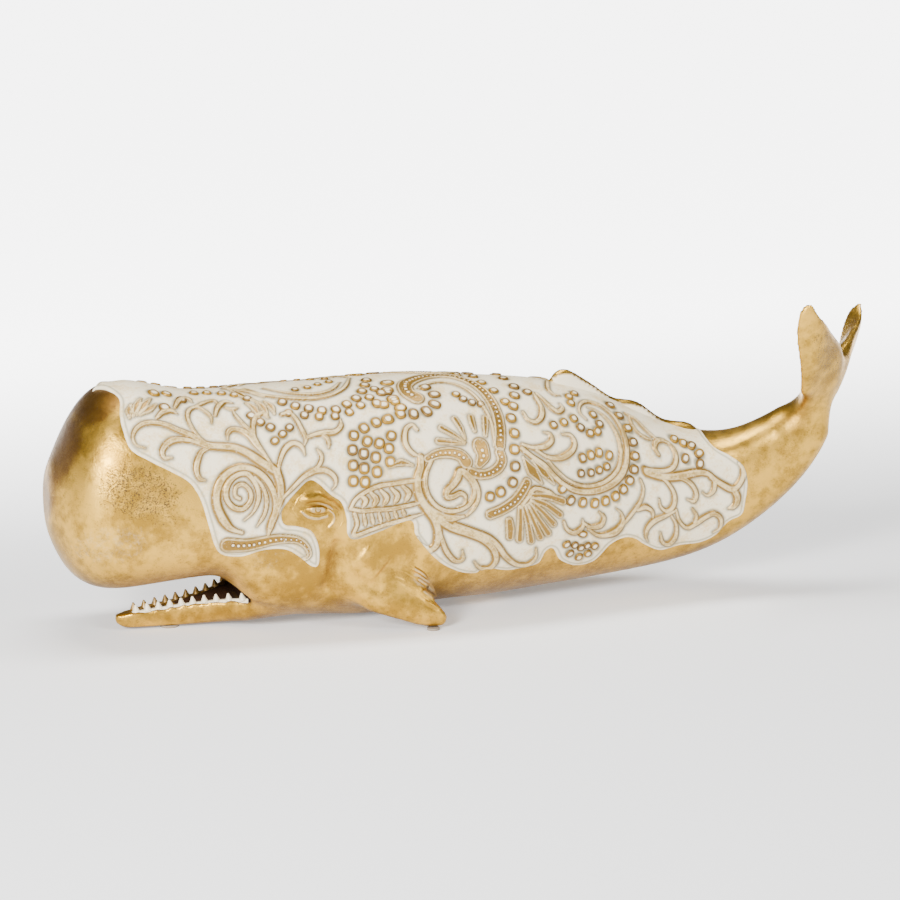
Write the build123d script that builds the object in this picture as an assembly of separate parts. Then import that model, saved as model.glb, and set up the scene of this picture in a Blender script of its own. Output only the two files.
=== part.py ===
from build123d import *
from math import cos, pi, radians, sin
import os

# A cast resin sperm whale ornament, in millimetres. +X runs from the snout to the tail, +Z is up,
# and the origin lies on the table, under the middle of the felt pad below the chest.
# The body is a hollow casting. The lower jaw, the flippers and the flukes are cast apart and bonded
# to it on steel dowels, and the raised relief mantle lies over its back.

# Whole figure
SPINE_LENGTH = 394.0  # snout to the neck of the flukes, along the curved spine
BODY_DEPTH = 104.0
BODY_WIDTH = 96.0
CHEST_FLAT = 0.5  # how deep the chest is ground flat above its pad
REST_SHARE = 0.381  # middle of the chest pad, of the spine's length
TAIL_LIFT = 66.0  # degrees that the tail has turned upwards at its neck
TAIL_LIFT_POWER = 2.0
TAIL_SWING = 31.0  # degrees that the tail has swung to the whale's left
TAIL_SWING_POWER = 1.5
OVERRUN = 3.0  # how far every cutter passes the face that it cuts

# Body casting
WALL = 7.0
MOUTH_LENGTH = 26.0
MOUTH_WIDTH = 52.0
MOUTH_DEPTH = 18.0
MOUTH_START_SHARE = 0.208  # of the spine's length
MOUTH_HEIGHT_SHARE = 0.73  # middle of the mouth above the table, of the jaw's depth
RIDGE_START_SHARE = 0.636  # front of the dorsal fin, of the spine's length
RIDGE_LENGTH = 86.0  # from there to the end of the knuckles behind the fin
RIDGE_HEIGHT = 8.5
RIDGE_THICKNESS = 11.0

# Relief mantle
MANTLE_THICKNESS = 1.8
MANTLE_CLEARANCE = 0.1  # between the mantle and the body

# Lower jaw and its teeth
JAW_START_SHARE = 0.086  # tip of the jaw, of the spine's length
JAW_LENGTH = 98.0
JAW_WIDTH = 60.0
JAW_DEPTH = 24.0
JAW_RIM = 3.4
TROUGH_DEPTH = 3.0
TOOTH_HEIGHT = 3.4
TOOTH_WIDTH = 3.8
TOOTH_TIP_WIDTH = 0.8
TOOTH_PITCH = 5.3
TOOTH_COUNT = 10  # on each side
FIRST_TOOTH_FROM_TIP = 9.5
TOOTH_BED_WIDTH = 1.8
TOOTH_BED_DEPTH = 1.5
TOOTH_BED_STEPS = 3
TOOTH_STAND = 0.4  # how far the strip stands out of its groove
TOOTH_GAP = 0.15  # between the rim and the teeth
BED_CLEARANCE = 0.05

# Flippers
FLIPPER_START_SHARE = 0.345  # middle of the root, of the spine's length
FLIPPER_SPREAD_SHARE = 0.375  # from the middle of the body to the root, of the body's width
FLIPPER_LENGTH = 45.0
FLIPPER_WIDTH = 36.0
FLIPPER_THICKNESS = 15.0
FLIPPER_HEIGHT = 25.0  # middle of the root above the table
FLIPPER_SPLAY = 8.0  # how much farther out its end lies
FLIPPER_DROP = 12.0  # how much lower its end lies
FLIPPER_LEAN = 9.0  # degrees that its upper edge leans towards the body
FLIPPER_RAKE = 24.0  # degrees that its upper edge leans towards the head
FINGER_COUNT = 5
FINGER_GROOVE = 1.3

# Flukes
FLUKE_SPAN = 95.0
FLUKE_REACH = 46.5
FLUKE_THICKNESS = 15.0
FLUKE_CUP = 16.0
FLUKE_LIFT = 63.0  # degrees that the pair's own axis rises
FLUKE_SWING = 23.0  # degrees that it points to the whale's left
FLUKE_ROLL = 19.0  # degrees that the pair is turned about it, with the right fluke down

# Dowels, plug and pads
DOWEL_RADIUS = 2.0
DOWEL_LENGTH = 14.0
DOWEL_CLEARANCE = 0.1
BOSS_RADIUS = 6.0
JAW_DOWEL_START_SHARE = 0.274  # of the spine's length
JAW_DOWEL_SPREAD_SHARE = 0.2  # of the jaw's width
JAW_DOWEL_HEIGHT_SHARE = 0.375  # of the jaw's depth
FLIPPER_DOWEL_SHARE = 0.533  # of the flipper's length
PLUG_START_SHARE = 0.548  # of the spine's length
PLUG_RADIUS = 11.0
PLUG_LEDGE = 2.0
PLUG_THICKNESS = 4.0
PLUG_CLEARANCE = 0.15
PAD_RADIUS = 4.5
PAD_THICKNESS = 1.2
JAW_PAD_SHARE = 0.265  # of the jaw's length
FLIPPER_PAD_RADIUS = 3.0
FLIPPER_PAD_SHARE = 0.756  # of the flipper's length

# Each row is a station's share along the spine, its reach above and below the spine as shares of
# the body's depth, its half width as a share of the body's width, and how full the corners of its
# back and of its belly are: 1 is an oval, and less is squarer.
BODY_SHARES = [
    (0.006, 0.087, 0.120, 0.085, 1.00, 1.00),
    (0.015, 0.196, 0.230, 0.185, 0.98, 0.96),
    (0.034, 0.335, 0.348, 0.295, 0.94, 0.90),
    (0.070, 0.490, 0.412, 0.385, 0.90, 0.80),
    (0.120, 0.500, 0.402, 0.415, 0.90, 0.74),
    (0.175, 0.453, 0.380, 0.430, 0.92, 0.70),
    (0.210, 0.447, 0.398, 0.438, 0.94, 0.66),
    (0.238, 0.448, 0.528, 0.445, 0.95, 0.65),
    (0.280, 0.453, 0.588, 0.460, 0.96, 0.68),
    (0.340, 0.456, 0.612, 0.480, 0.96, 0.78),
    (0.400, 0.463, 0.628, 0.500, 0.96, 0.86),
    (0.470, 0.458, 0.598, 0.500, 0.96, 0.90),
    (0.540, 0.438, 0.592, 0.480, 0.98, 0.94),
    (0.620, 0.405, 0.575, 0.430, 1.00, 1.00),
    (0.700, 0.322, 0.550, 0.360, 1.00, 1.00),
    (0.780, 0.180, 0.508, 0.280, 1.00, 1.00),
    (0.850, 0.119, 0.418, 0.205, 1.00, 1.00),
    (0.920, 0.126, 0.252, 0.150, 1.00, 1.00),
    (0.970, 0.114, 0.154, 0.116, 1.00, 1.00),
    (1.000, 0.095, 0.110, 0.104, 1.00, 1.00),
]
HOLLOW_FIRST_ROW = 2
HOLLOW_LAST_ROW = 16
LIFT_START_SHARE = 0.790
SWING_START_SHARE = 0.600
SPINE_STEPS = 60
SECTION_POINTS = 16

# The mouth's rows: share of its length, and of its half width and half depth.
MOUTH_SHARES = [(0.0, 1.00), (0.35, 0.97), (0.70, 0.78), (0.92, 0.42), (1.0, 0.16)]

# The ridge of the back: share of its length, and of its height. The fin comes first, with its steep
# front, then two low knuckles, and both ends dive under the skin.
RIDGE_SHARES = [
    (0.00, -0.50), (0.03, 0.60), (0.08, 1.00), (0.16, 0.92), (0.24, 0.62), (0.33, 0.28), (0.41, 0.26),
    (0.49, 0.52), (0.56, 0.52), (0.64, 0.28), (0.76, 0.22), (0.88, 0.04), (1.00, -0.50),
]
RIDGE_FOOT_SHARE = 0.3

# The mantle's edge seen from the side: share of the spine's length from the snout, and share of the
# body's depth above the spine.
MANTLE_EDGE_SHARES = [
    (0.050, 0.62), (0.068, 0.49), (0.082, 0.45), (0.083, 0.35), (0.090, 0.27), (0.111, 0.21),
    (0.150, 0.13), (0.168, 0.04), (0.179, -0.10), (0.187, -0.19), (0.200, -0.23), (0.218, -0.24),
    (0.243, -0.21), (0.270, -0.21), (0.293, -0.28), (0.305, -0.31), (0.313, -0.27), (0.310, -0.19),
    (0.299, -0.12), (0.275, -0.10), (0.263, -0.05), (0.270, 0.00), (0.286, 0.06), (0.300, 0.10),
    (0.311, 0.08), (0.325, 0.03), (0.337, -0.02), (0.340, -0.10), (0.344, -0.16), (0.356, -0.18),
    (0.385, -0.15), (0.416, -0.11), (0.428, -0.18), (0.442, -0.26), (0.466, -0.34), (0.490, -0.39),
    (0.520, -0.40), (0.550, -0.41), (0.580, -0.41), (0.597, -0.38), (0.606, -0.33), (0.618, -0.36),
    (0.633, -0.41), (0.655, -0.43), (0.677, -0.41), (0.695, -0.34), (0.725, -0.33), (0.745, -0.37),
    (0.770, -0.40), (0.805, -0.39), (0.840, -0.35), (0.858, -0.28), (0.871, -0.22), (0.874, -0.13),
    (0.872, -0.04), (0.860, 0.02), (0.842, 0.06), (0.828, 0.10), (0.812, 0.17), (0.800, 0.30),
    (0.788, 0.62),
]

# The jaw's rows: share of its length from the tip, half width as a share of its width, and its rim
# and underside above the table as shares of its depth.
JAW_SHARES = [
    (0.00, 0.025, 0.31, 0.18),
    (0.03, 0.055, 0.34, 0.08),
    (0.13, 0.078, 0.39, 0.01),
    (0.25, 0.105, 0.45, 0.00),
    (0.35, 0.138, 0.50, 0.01),
    (0.44, 0.178, 0.54, 0.03),
    (0.52, 0.245, 0.58, 0.05),
    (0.58, 0.345, 0.63, 0.07),
    (0.65, 0.440, 0.69, 0.10),
    (0.76, 0.470, 0.72, 0.14),
    (0.88, 0.400, 0.70, 0.22),
    (1.00, 0.260, 0.66, 0.34),
]
JAW_ROWS_BEFORE_TROUGH = 3
# Half of the underside's curve across the jaw: shares of the half width and of the depth.
CHIN_SHARES = [(1.0, 0.0), (0.95, 0.42), (0.58, 0.90), (0.0, 1.0)]

# A flipper's rows: share of its length, of its width and of its thickness.
FLIPPER_SHARES = [
    (0.00, 1.00, 1.00),
    (0.30, 0.98, 0.92),
    (0.60, 0.93, 0.76),
    (0.82, 0.84, 0.62),
    (0.94, 0.66, 0.50),
    (1.00, 0.36, 0.28),
]
GROOVE_START_SHARE = 0.40

# A fluke's rows: share of the half span, its leading and trailing edges as shares of the reach
# beyond the neck, its thickness, and how far each of the two edges is cupped forwards.
FLUKE_SHARES = [
    (0.00, -0.40, 0.60, 1.00, -0.05, 0.02),
    (0.14, -0.28, 0.66, 0.90, -0.02, 0.05),
    (0.32, -0.08, 0.74, 0.66, 0.04, 0.16),
    (0.54, 0.14, 0.82, 0.48, 0.16, 0.32),
    (0.76, 0.42, 0.90, 0.38, 0.50, 0.48),
    (0.92, 0.70, 0.97, 0.30, 0.92, 0.68),
    (1.00, 0.90, 1.02, 0.16, 1.00, 0.90),
]

# The belly's lowest row, ground flat, stands on the chest pad.
SPINE_HEIGHT = PAD_THICKNESS - CHEST_FLAT + BODY_DEPTH * max(down for _, _, down, *_ in BODY_SHARES)


def direction(lift, swing):
    """Unit vector towards the tail that rises, and swings to the whale's left, by angles in radians."""
    return Vector(cos(lift) * cos(swing), -cos(lift) * sin(swing), sin(lift))


def level(swing):
    """Level unit vector to the whale's right, square to a direction that swings by an angle."""
    return Vector(sin(swing), cos(swing), 0)


def heading(share):
    """Lift and swing of the spine at a share of its length."""
    lift = max(0.0, (share - LIFT_START_SHARE) / (1 - LIFT_START_SHARE))
    swing = max(0.0, (share - SWING_START_SHARE) / (1 - SWING_START_SHARE))
    return radians(TAIL_LIFT) * lift**TAIL_LIFT_POWER, radians(TAIL_SWING) * swing**TAIL_SWING_POWER


def from_snout(share):
    """Distance along X of a share of the spine's length, where the spine is straight."""
    return SPINE_LENGTH * (share - REST_SHARE)


def spine_plane(share):
    """Plane across the spine: its x points to the whale's right, and its y up."""
    place = Vector(from_snout(0), 0, SPINE_HEIGHT)
    run = SPINE_LENGTH * share / SPINE_STEPS
    for step in range(SPINE_STEPS):
        place += direction(*heading(share * (step + 0.5) / SPINE_STEPS)) * run
    lift, swing = heading(share)
    return Plane(origin=place, x_dir=level(swing), z_dir=direction(lift, swing))


def section(plane, up, down, side, crown=1.0, belly=1.0):
    """Closed smooth outline in a plane, with its own height and fullness above and below."""
    points = []
    for number in range(SECTION_POINTS):
        angle = 2 * pi * number / SECTION_POINTS
        fullness = crown if sin(angle) > 0 else belly
        wide = side * abs(cos(angle)) ** fullness
        high = (up if sin(angle) > 0 else down) * abs(sin(angle)) ** fullness
        points.append((wide if cos(angle) > 0 else -wide, high if sin(angle) > 0 else -high))
    return Wire([Spline(*[plane.from_local_coords(point) for point in points], periodic=True)])


def body_loft(grow=0.0, rows=BODY_SHARES):
    """Body of the whale, with every station grown by a length."""
    wires = []
    for along, up, down, side, crown, belly in rows:
        reach_up = BODY_DEPTH * up + grow
        reach_down = BODY_DEPTH * down + grow
        half = BODY_WIDTH * side + grow
        wires.append(section(spine_plane(along), reach_up, reach_down, half, crown, belly))
    return Solid.make_loft(wires)


def hollow_loft():
    """Hollow of the body. Its floor drops one row late, so the throat behind the mouth is solid."""
    rows = []
    for number in range(HOLLOW_FIRST_ROW, HOLLOW_LAST_ROW + 1):
        along, up, down, *rest = BODY_SHARES[number]
        rows.append((along, up, min(down, BODY_SHARES[number - 1][2]), *rest))
    return body_loft(-WALL, rows)


def between(rows, share):
    """Values of a table of shares at a share of its first column, in line between two rows."""
    for low, high in zip(rows, rows[1:]):
        if share <= high[0]:
            part = (share - low[0]) / (high[0] - low[0])
            return [start + (end - start) * part for start, end in zip(low[1:], high[1:])]
    return list(rows[-1][1:])


def flank(x, height):
    """Half width of the body below its spine, at a place along X and above the table."""
    _, down, side, _, belly = between(BODY_SHARES, REST_SHARE + x / SPINE_LENGTH)
    rise = ((SPINE_HEIGHT - height) / (BODY_DEPTH * down)) ** (1 / belly)
    return BODY_WIDTH * side * (1 - rise**2) ** (belly / 2)


def ridge(grow=0.0):
    """Dorsal fin and the knuckles behind it, in one crest along the back, grown by a length."""
    wires = []
    for part, rise in RIDGE_SHARES:
        share = RIDGE_START_SHARE + RIDGE_LENGTH * part / SPINE_LENGTH
        plane = spine_plane(share)
        reach = BODY_DEPTH * between(BODY_SHARES, share)[0]
        foot = reach * RIDGE_FOOT_SHARE
        root = Plane(plane.from_local_coords((0, reach - foot)), plane.x_dir, plane.z_dir)
        top = foot + RIDGE_HEIGHT * rise
        wires.append(section(root, top + grow, foot / 2 + grow, RIDGE_THICKNESS / 2 + grow))
    return Solid.make_loft(wires)


def mouth():
    """Rounded cavity between the jaw and the head, with its closed end towards the tail."""
    wires = []
    for part, size in MOUTH_SHARES:
        x = from_snout(MOUTH_START_SHARE) + MOUTH_LENGTH * part
        plane = Plane((x, 0, JAW_DEPTH * MOUTH_HEIGHT_SHARE), (0, 1, 0), (1, 0, 0))
        wires.append(section(plane, *[MOUTH_DEPTH / 2 * size] * 2, MOUTH_WIDTH / 2 * size))
    return Solid.make_loft(wires)


def side_place(along, high):
    """Place seen from the side, at a share of the spine's length and of the body's depth above it."""
    return Vector(from_snout(along), 0, SPINE_HEIGHT + BODY_DEPTH * high)


def mantle_shell():
    """Relief mantle: a thin shell over the back, cut to its scalloped edge and open round the fin."""
    edge = Wire([Spline(*[side_place(*pair) for pair in MANTLE_EDGE_SHARES], periodic=True)])
    cut = extrude(Face(edge), BODY_WIDTH, (0, 1, 0), both=True)
    blank = body_loft(MANTLE_THICKNESS) & cut
    return blank - body_loft(MANTLE_CLEARANCE) - ridge(MANTLE_CLEARANCE)


def jaw_place(share):
    """Distance of a jaw section along X, its half width, rim height and underside height."""
    half, rim, under = between(JAW_SHARES, share)
    x = from_snout(JAW_START_SHARE) + JAW_LENGTH * share
    return x, JAW_WIDTH * half, JAW_DEPTH * rim, JAW_DEPTH * under


def jaw_loft():
    """Jaw with a flat rim and a rounded chin, from its tip to its end in the throat."""
    wires = []
    for share, *_ in JAW_SHARES:
        x, half, rim, under = jaw_place(share)
        left = [(x, -half * side, rim - (rim - under) * drop) for side, drop in CHIN_SHARES]
        right = [(x, half * side, rim - (rim - under) * drop) for side, drop in CHIN_SHARES]
        chin = Spline(*left, *right[-2::-1])
        wires.append(Wire([chin, Line(right[0], left[0])]))
    return Solid.make_loft(wires)


def jaw_trough():
    """Long hollow between the two rims of the jaw."""
    wires = []
    for share, *_ in JAW_SHARES[JAW_ROWS_BEFORE_TROUGH:]:
        x, half, rim, _ = jaw_place(share)
        plane = Plane((x, 0, rim), (0, 1, 0), (1, 0, 0))
        wires.append(section(plane, TROUGH_DEPTH, TROUGH_DEPTH, half - JAW_RIM))
    return Solid.make_loft(wires)


def rim_place(side, distance):
    """Middle of the rim of one side of the jaw, at a distance from its tip."""
    x, half, rim, _ = jaw_place(distance / JAW_LENGTH)
    return Vector(x, side * (half - JAW_RIM / 2), rim)


def tooth_places(side):
    """Middle of each tooth on the rim of one side of the jaw."""
    return [
        rim_place(side, FIRST_TOOTH_FROM_TIP + TOOTH_PITCH * number) for number in range(TOOTH_COUNT)
    ]


def tooth_bed(side, clearance=0.0):
    """Strip under the teeth of one side, grown by a clearance where it cuts its groove."""
    start = FIRST_TOOTH_FROM_TIP - TOOTH_WIDTH / 2 - clearance
    run = TOOTH_PITCH * (TOOTH_COUNT - 1) + TOOTH_WIDTH + 2 * clearance
    wide = TOOTH_BED_WIDTH + 2 * clearance
    high = TOOTH_BED_DEPTH + clearance + TOOTH_STAND
    wires = []
    for number in range(TOOTH_BED_STEPS + 1):
        place = rim_place(side, start + run * number / TOOTH_BED_STEPS)
        middle = place + Vector(0, 0, TOOTH_STAND - high / 2)
        wires.append((Plane(middle, (0, 1, 0), (1, 0, 0)) * Rectangle(wide, high)).wire())
    return Solid.make_loft(wires)


def tooth_row(side):
    """One side's teeth on their strip."""
    places = tooth_places(side)
    row = tooth_bed(side)
    for number, place in enumerate(places):
        last = places[max(number - 1, 0)]
        following = places[min(number + 1, TOOTH_COUNT - 1)]
        slope = (following.Z - last.Z) / (following.X - last.X)
        seat = Plane(origin=place, x_dir=(0, 1, 0), z_dir=(-slope, 0, 1)).offset(TOOTH_GAP)
        row += Solid.make_cone(TOOTH_WIDTH / 2, TOOTH_TIP_WIDTH / 2, TOOTH_HEIGHT - TOOTH_GAP, seat)
    return row


def flipper_plane(side, share):
    """Plane through a flipper at a share of its length, with x up its width."""
    out = BODY_WIDTH * FLIPPER_SPREAD_SHARE
    root = Vector(from_snout(FLIPPER_START_SHARE), side * out, FLIPPER_HEIGHT)
    along = Vector(FLIPPER_LENGTH, side * FLIPPER_SPLAY, -FLIPPER_DROP)
    rake, lean = radians(FLIPPER_RAKE), radians(FLIPPER_LEAN)
    up = Vector(-sin(rake), -side * sin(lean), cos(rake) * cos(lean))
    return Plane(origin=root + along * share, x_dir=up, z_dir=up.cross(along.cross(up)))


def flipper_loft(side):
    """Left (side -1) or right (side 1) flipper."""
    wires = []
    for share, wide, thick in FLIPPER_SHARES:
        half = FLIPPER_THICKNESS * thick / 2
        wires.append(section(flipper_plane(side, share), half, half, FLIPPER_WIDTH * wide / 2))
    return Solid.make_loft(wires)


def finger_grooves(side):
    """Round grooves between the fingers, fanned over the outer face."""
    cutters = []
    for number in range(1, FINGER_COUNT):
        across = number / FINGER_COUNT - 0.5
        ends = []
        for share in (GROOVE_START_SHARE, 1.0):
            wide, thick = between(FLIPPER_SHARES, share)
            plane = flipper_plane(side, share)
            out = -side * FLIPPER_THICKNESS * thick / 2
            ends.append(plane.from_local_coords((FLIPPER_WIDTH * wide * across, out)))
        line = ends[1] - ends[0]
        cutters.append(
            Solid.make_cone(0, FINGER_GROOVE, line.length, Plane(origin=ends[0], z_dir=line))
        )
    return cutters


def fluke_loft():
    """Both flukes in one, from tip to tip across the end of the stock."""
    lift, swing, roll = radians(FLUKE_LIFT), radians(FLUKE_SWING), radians(FLUKE_ROLL)
    out, right = direction(lift, swing), level(swing)
    right = right * cos(roll) - out.cross(right) * sin(roll)
    neck = Plane(spine_plane(1.0).origin, right, out)
    mirrored = [(-span, *rest) for span, *rest in reversed(FLUKE_SHARES[1:])]
    wires = []
    for span, lead, trail, thick, lead_cup, trail_cup in mirrored + FLUKE_SHARES:
        across = FLUKE_SPAN / 2 * span
        front = neck.from_local_coords((across, FLUKE_CUP * lead_cup, FLUKE_REACH * lead))
        back = neck.from_local_coords((across, FLUKE_CUP * trail_cup, FLUKE_REACH * trail))
        plane = Plane(origin=(front + back) / 2, x_dir=back - front, z_dir=neck.x_dir)
        half = FLUKE_THICKNESS * thick / 2
        wires.append(section(plane, half, half, (back - front).length / 2))
    return Solid.make_loft(wires)


def pin(middle, direction, grow=0.0):
    """Dowel round a middle point, grown all over by a clearance where it cuts its hole."""
    axis = Vector(*direction).normalized()
    length = DOWEL_LENGTH + 2 * grow
    base = Plane(origin=middle - axis * (length / 2), z_dir=axis)
    return Solid.make_cylinder(DOWEL_RADIUS + grow, length, base)


def boss(middle, direction):
    """Thick place in the wall round a dowel's hole."""
    axis = Vector(*direction).normalized()
    base = Plane(origin=middle - axis * (DOWEL_LENGTH / 2 + WALL / 2), z_dir=axis)
    return Solid.make_cylinder(BOSS_RADIUS, DOWEL_LENGTH + WALL, base)


def dowel_places():
    """Middle and direction of every dowel by its node's name."""
    places = {}
    for name, side in (("left", -1), ("right", 1)):
        x = from_snout(JAW_DOWEL_START_SHARE)
        y = side * JAW_WIDTH * JAW_DOWEL_SPREAD_SHARE
        places[f"{name}_jaw_dowel"] = (Vector(x, y, JAW_DEPTH * JAW_DOWEL_HEIGHT_SHARE), (1, 0, 0))
        root = flipper_plane(side, FLIPPER_DOWEL_SHARE).origin
        y = side * flank(root.X, root.Z)
        places[f"{name}_flipper_dowel"] = (Vector(root.X, y, root.Z), (0, side, 0))
    neck = spine_plane(1.0)
    places["tail_dowel"] = (neck.origin, tuple(neck.z_dir))
    return places


def pour_hole():
    """Plane of the pour hole's ledge, facing down from the belly, and the stepped cutter there."""
    across = spine_plane(PLUG_START_SHARE)
    reach = BODY_DEPTH * between(BODY_SHARES, PLUG_START_SHARE)[1]
    ledge = Plane(
        origin=across.from_local_coords((0, PLUG_THICKNESS - reach)),
        x_dir=across.x_dir,
        z_dir=-across.y_dir,
    )
    wide = PLUG_RADIUS + PLUG_CLEARANCE
    seat = Solid.make_cylinder(wide, PLUG_THICKNESS + OVERRUN, ledge)
    bore = Solid.make_cylinder(PLUG_RADIUS - PLUG_LEDGE, WALL, ledge.offset(-WALL))
    return ledge, seat + bore


def pad(x, y, radius):
    """Felt disc on the table."""
    return Solid.make_cylinder(radius, PAD_THICKNESS, Plane((x, y, 0)))


def build():
    """Every piece by its node's name."""
    outer = body_loft()
    table = Pos(0, 0, PAD_THICKNESS - BODY_DEPTH / 2) * Box(2 * SPINE_LENGTH, 2 * BODY_WIDTH, BODY_DEPTH)
    dowels = dowel_places()
    holes = [pin(*place, DOWEL_CLEARANCE) for place in dowels.values()]
    ledge, pour = pour_hole()

    hollow = hollow_loft()
    for name in ("left_flipper_dowel", "right_flipper_dowel"):
        hollow -= boss(*dowels[name])
    body = outer + ridge() - hollow - mouth() - pour - table
    for hole in holes:
        body -= hole

    jaw = jaw_loft() - jaw_trough() - outer - table
    for side in (-1, 1):
        jaw -= tooth_bed(side, BED_CLEARANCE)
    for hole in holes:
        jaw -= hole

    parts = {"body_casting": body, "relief_mantle": mantle_shell(), "lower_jaw": jaw}
    for name, side in (("left", -1), ("right", 1)):
        parts[f"{name}_tooth_row"] = tooth_row(side)
        flipper = flipper_loft(side) - outer - table
        for groove in finger_grooves(side):
            flipper -= groove
        for hole in holes:
            flipper -= hole
        parts[f"{name}_flipper"] = flipper
        foot = flipper_plane(side, FLIPPER_PAD_SHARE).from_local_coords((-FLIPPER_WIDTH / 2, 0))
        parts[f"{name}_flipper_pad"] = pad(foot.X, foot.Y, FLIPPER_PAD_RADIUS)
    flukes = fluke_loft() - outer
    for hole in holes:
        flukes -= hole
    parts["tail_flukes"] = flukes
    for name, place in dowels.items():
        parts[name] = pin(*place)
    parts["pour_hole_plug"] = Solid.make_cylinder(PLUG_RADIUS, PLUG_THICKNESS + OVERRUN, ledge) & outer
    parts["jaw_pad"] = pad(jaw_place(JAW_PAD_SHARE)[0], 0, PAD_RADIUS)
    parts["chest_pad"] = pad(0, 0, PAD_RADIUS)
    return parts


if __name__ == "__main__":
    os.makedirs("parts", exist_ok=True)
    for name, shape in build().items():
        solids = shape.solids()
        print(name, len(solids), [round(solid.volume, 1) for solid in solids], shape.is_valid)
        export_step(shape, f"parts/{name}.step")
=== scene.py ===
"""Gold and ivory whale ornament: its skin, carved mantle, teeth, finishes and studio."""

import logging
import math
from dataclasses import dataclass, field
from enum import Enum

import bpy
import numpy as np
from mathutils import Matrix, Vector
from mathutils.bvhtree import BVHTree

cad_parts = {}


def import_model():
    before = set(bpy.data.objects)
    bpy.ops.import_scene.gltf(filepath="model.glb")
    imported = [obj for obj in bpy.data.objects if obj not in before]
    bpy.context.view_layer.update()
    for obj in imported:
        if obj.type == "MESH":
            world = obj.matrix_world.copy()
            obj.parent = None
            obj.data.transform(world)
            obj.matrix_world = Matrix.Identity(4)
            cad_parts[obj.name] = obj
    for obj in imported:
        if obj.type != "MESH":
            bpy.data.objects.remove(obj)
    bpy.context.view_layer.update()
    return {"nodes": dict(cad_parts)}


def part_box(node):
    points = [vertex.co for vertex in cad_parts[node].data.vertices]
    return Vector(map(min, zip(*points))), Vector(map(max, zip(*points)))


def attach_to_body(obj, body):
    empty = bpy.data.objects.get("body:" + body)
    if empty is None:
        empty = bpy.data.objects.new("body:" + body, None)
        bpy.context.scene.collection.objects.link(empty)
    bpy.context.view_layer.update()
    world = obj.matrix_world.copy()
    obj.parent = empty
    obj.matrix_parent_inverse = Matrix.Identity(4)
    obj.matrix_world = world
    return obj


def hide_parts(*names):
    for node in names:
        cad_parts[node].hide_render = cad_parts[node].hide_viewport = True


LOG = logging.getLogger("whale")
MM = 0.001

Triple = tuple[float, float, float]
Path = tuple[tuple[float, float], ...]

# Camera: where it stands for the photograph, in millimetres, degrees and photo pixels.
PHOTO_SIZE = 900
FOCAL_PIXELS = 3100.0
SENSOR_WIDTH = 36.0
CAMERA_TARGET = (50.0, 0.0, 80.0)
CAMERA_DISTANCE = 1500.0
CAMERA_AZIMUTH = -18.0
CAMERA_ELEVATION = 12.0
CAMERA_SHIFT_PIXELS = 7.5

# Grid of the mantle: its steps and its reach along X and round the girth from the crest.
MANTLE_STEP = 0.42
COARSE_STEP = 2.5
MANTLE_START = -131.0
MANTLE_END = 199.0
MANTLE_GIRTH = 122.0
MANTLE_RISE = 0.75

# Where the fin and its knuckles stand on the back.
FIN_START = 96.0
FIN_END = 198.0

# How high a stroke is carved, and how wide the painted shadow at its foot is.
STROKE_RISE = 1.0
STROKE_BREADTH = 1.55
FOOT_WIDTH = 1.0

# The mantle's lower edge on the near side, in photo pixels, from the forehead to the tail.
MANTLE_OUTLINE_PIXELS = (
    (95, 380), (108, 391), (118, 400), (119, 415), (122, 430), (130, 450), (150, 462), (185, 480),
    (196, 492), (202, 505), (208, 525), (214, 545), (222, 555), (240, 557), (262, 551), (285, 550),
    (300, 558), (310, 566), (317, 567), (320, 560), (319, 545), (312, 531), (298, 526), (285, 524),
    (282, 514), (286, 505), (297, 492), (309, 481), (318, 484), (330, 495), (341, 503), (346, 518),
    (347, 534), (355, 540), (380, 532), (410, 521), (415, 535), (425, 548), (433, 557), (445, 566),
    (460, 572), (475, 573), (485, 568), (505, 570), (520, 568), (538, 563), (546, 551), (553, 549),
    (560, 560), (575, 565), (593, 561), (610, 545), (624, 538), (635, 539), (645, 545), (660, 550),
    (680, 545), (700, 542), (715, 535), (728, 522), (742, 514), (746, 500), (748, 480), (743, 465),
    (730, 455), (716, 448), (708, 440), (700, 430),
)


@dataclass(frozen=True)
class Bond:
    """Where a cast piece meets the body: how far and how often the crease between them is rounded,
    and how far the middle of the bond face is shifted into the body."""

    reach: float
    rounds: int
    shift: Triple


BONDS = {
    "lower_jaw": Bond(7.0, 60, (12.0, 0.0, 4.0)),
    "left_flipper": Bond(17.0, 220, (0.0, 14.0, 4.0)),
    "right_flipper": Bond(17.0, 220, (0.0, -14.0, 4.0)),
    "tail_flukes": Bond(14.0, 220, (-4.0, 0.0, -4.0)),
}
SKIN_PIECES = ("body_casting", *BONDS)


class Form(Enum):
    """Cross-section of a carved stroke."""

    TENDRIL = "rounded, thickest in its middle"
    RIBBON = "a band with two raised rims"
    LEAF = "a flat petal with a sunk middle"


class Side(Enum):
    """Side of the whale, as the sign of Y."""

    LEFT = -1
    RIGHT = 1


@dataclass(frozen=True)
class Pen:
    """A stroke's form, and its widths in millimetres at its start, middle and end."""

    form: Form
    start: float
    middle: float
    end: float

    def half_width(self, share: np.ndarray) -> np.ndarray:
        """Half width at shares of the stroke's length. A tendril is rounded off at its end."""
        wide = np.interp(share, (0.0, 0.5, 1.0), (self.start, self.middle, self.end))
        if self.form is Form.TENDRIL:
            wide = wide * STROKE_BREADTH * (0.4 + 0.6 * smoothstep(1.0, 0.84, share))
        return wide / 2


@dataclass(frozen=True)
class Sheet:
    """An enlarged part of the photograph, on which paths are drawn."""

    left: float
    top: float
    zoom: float


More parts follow.
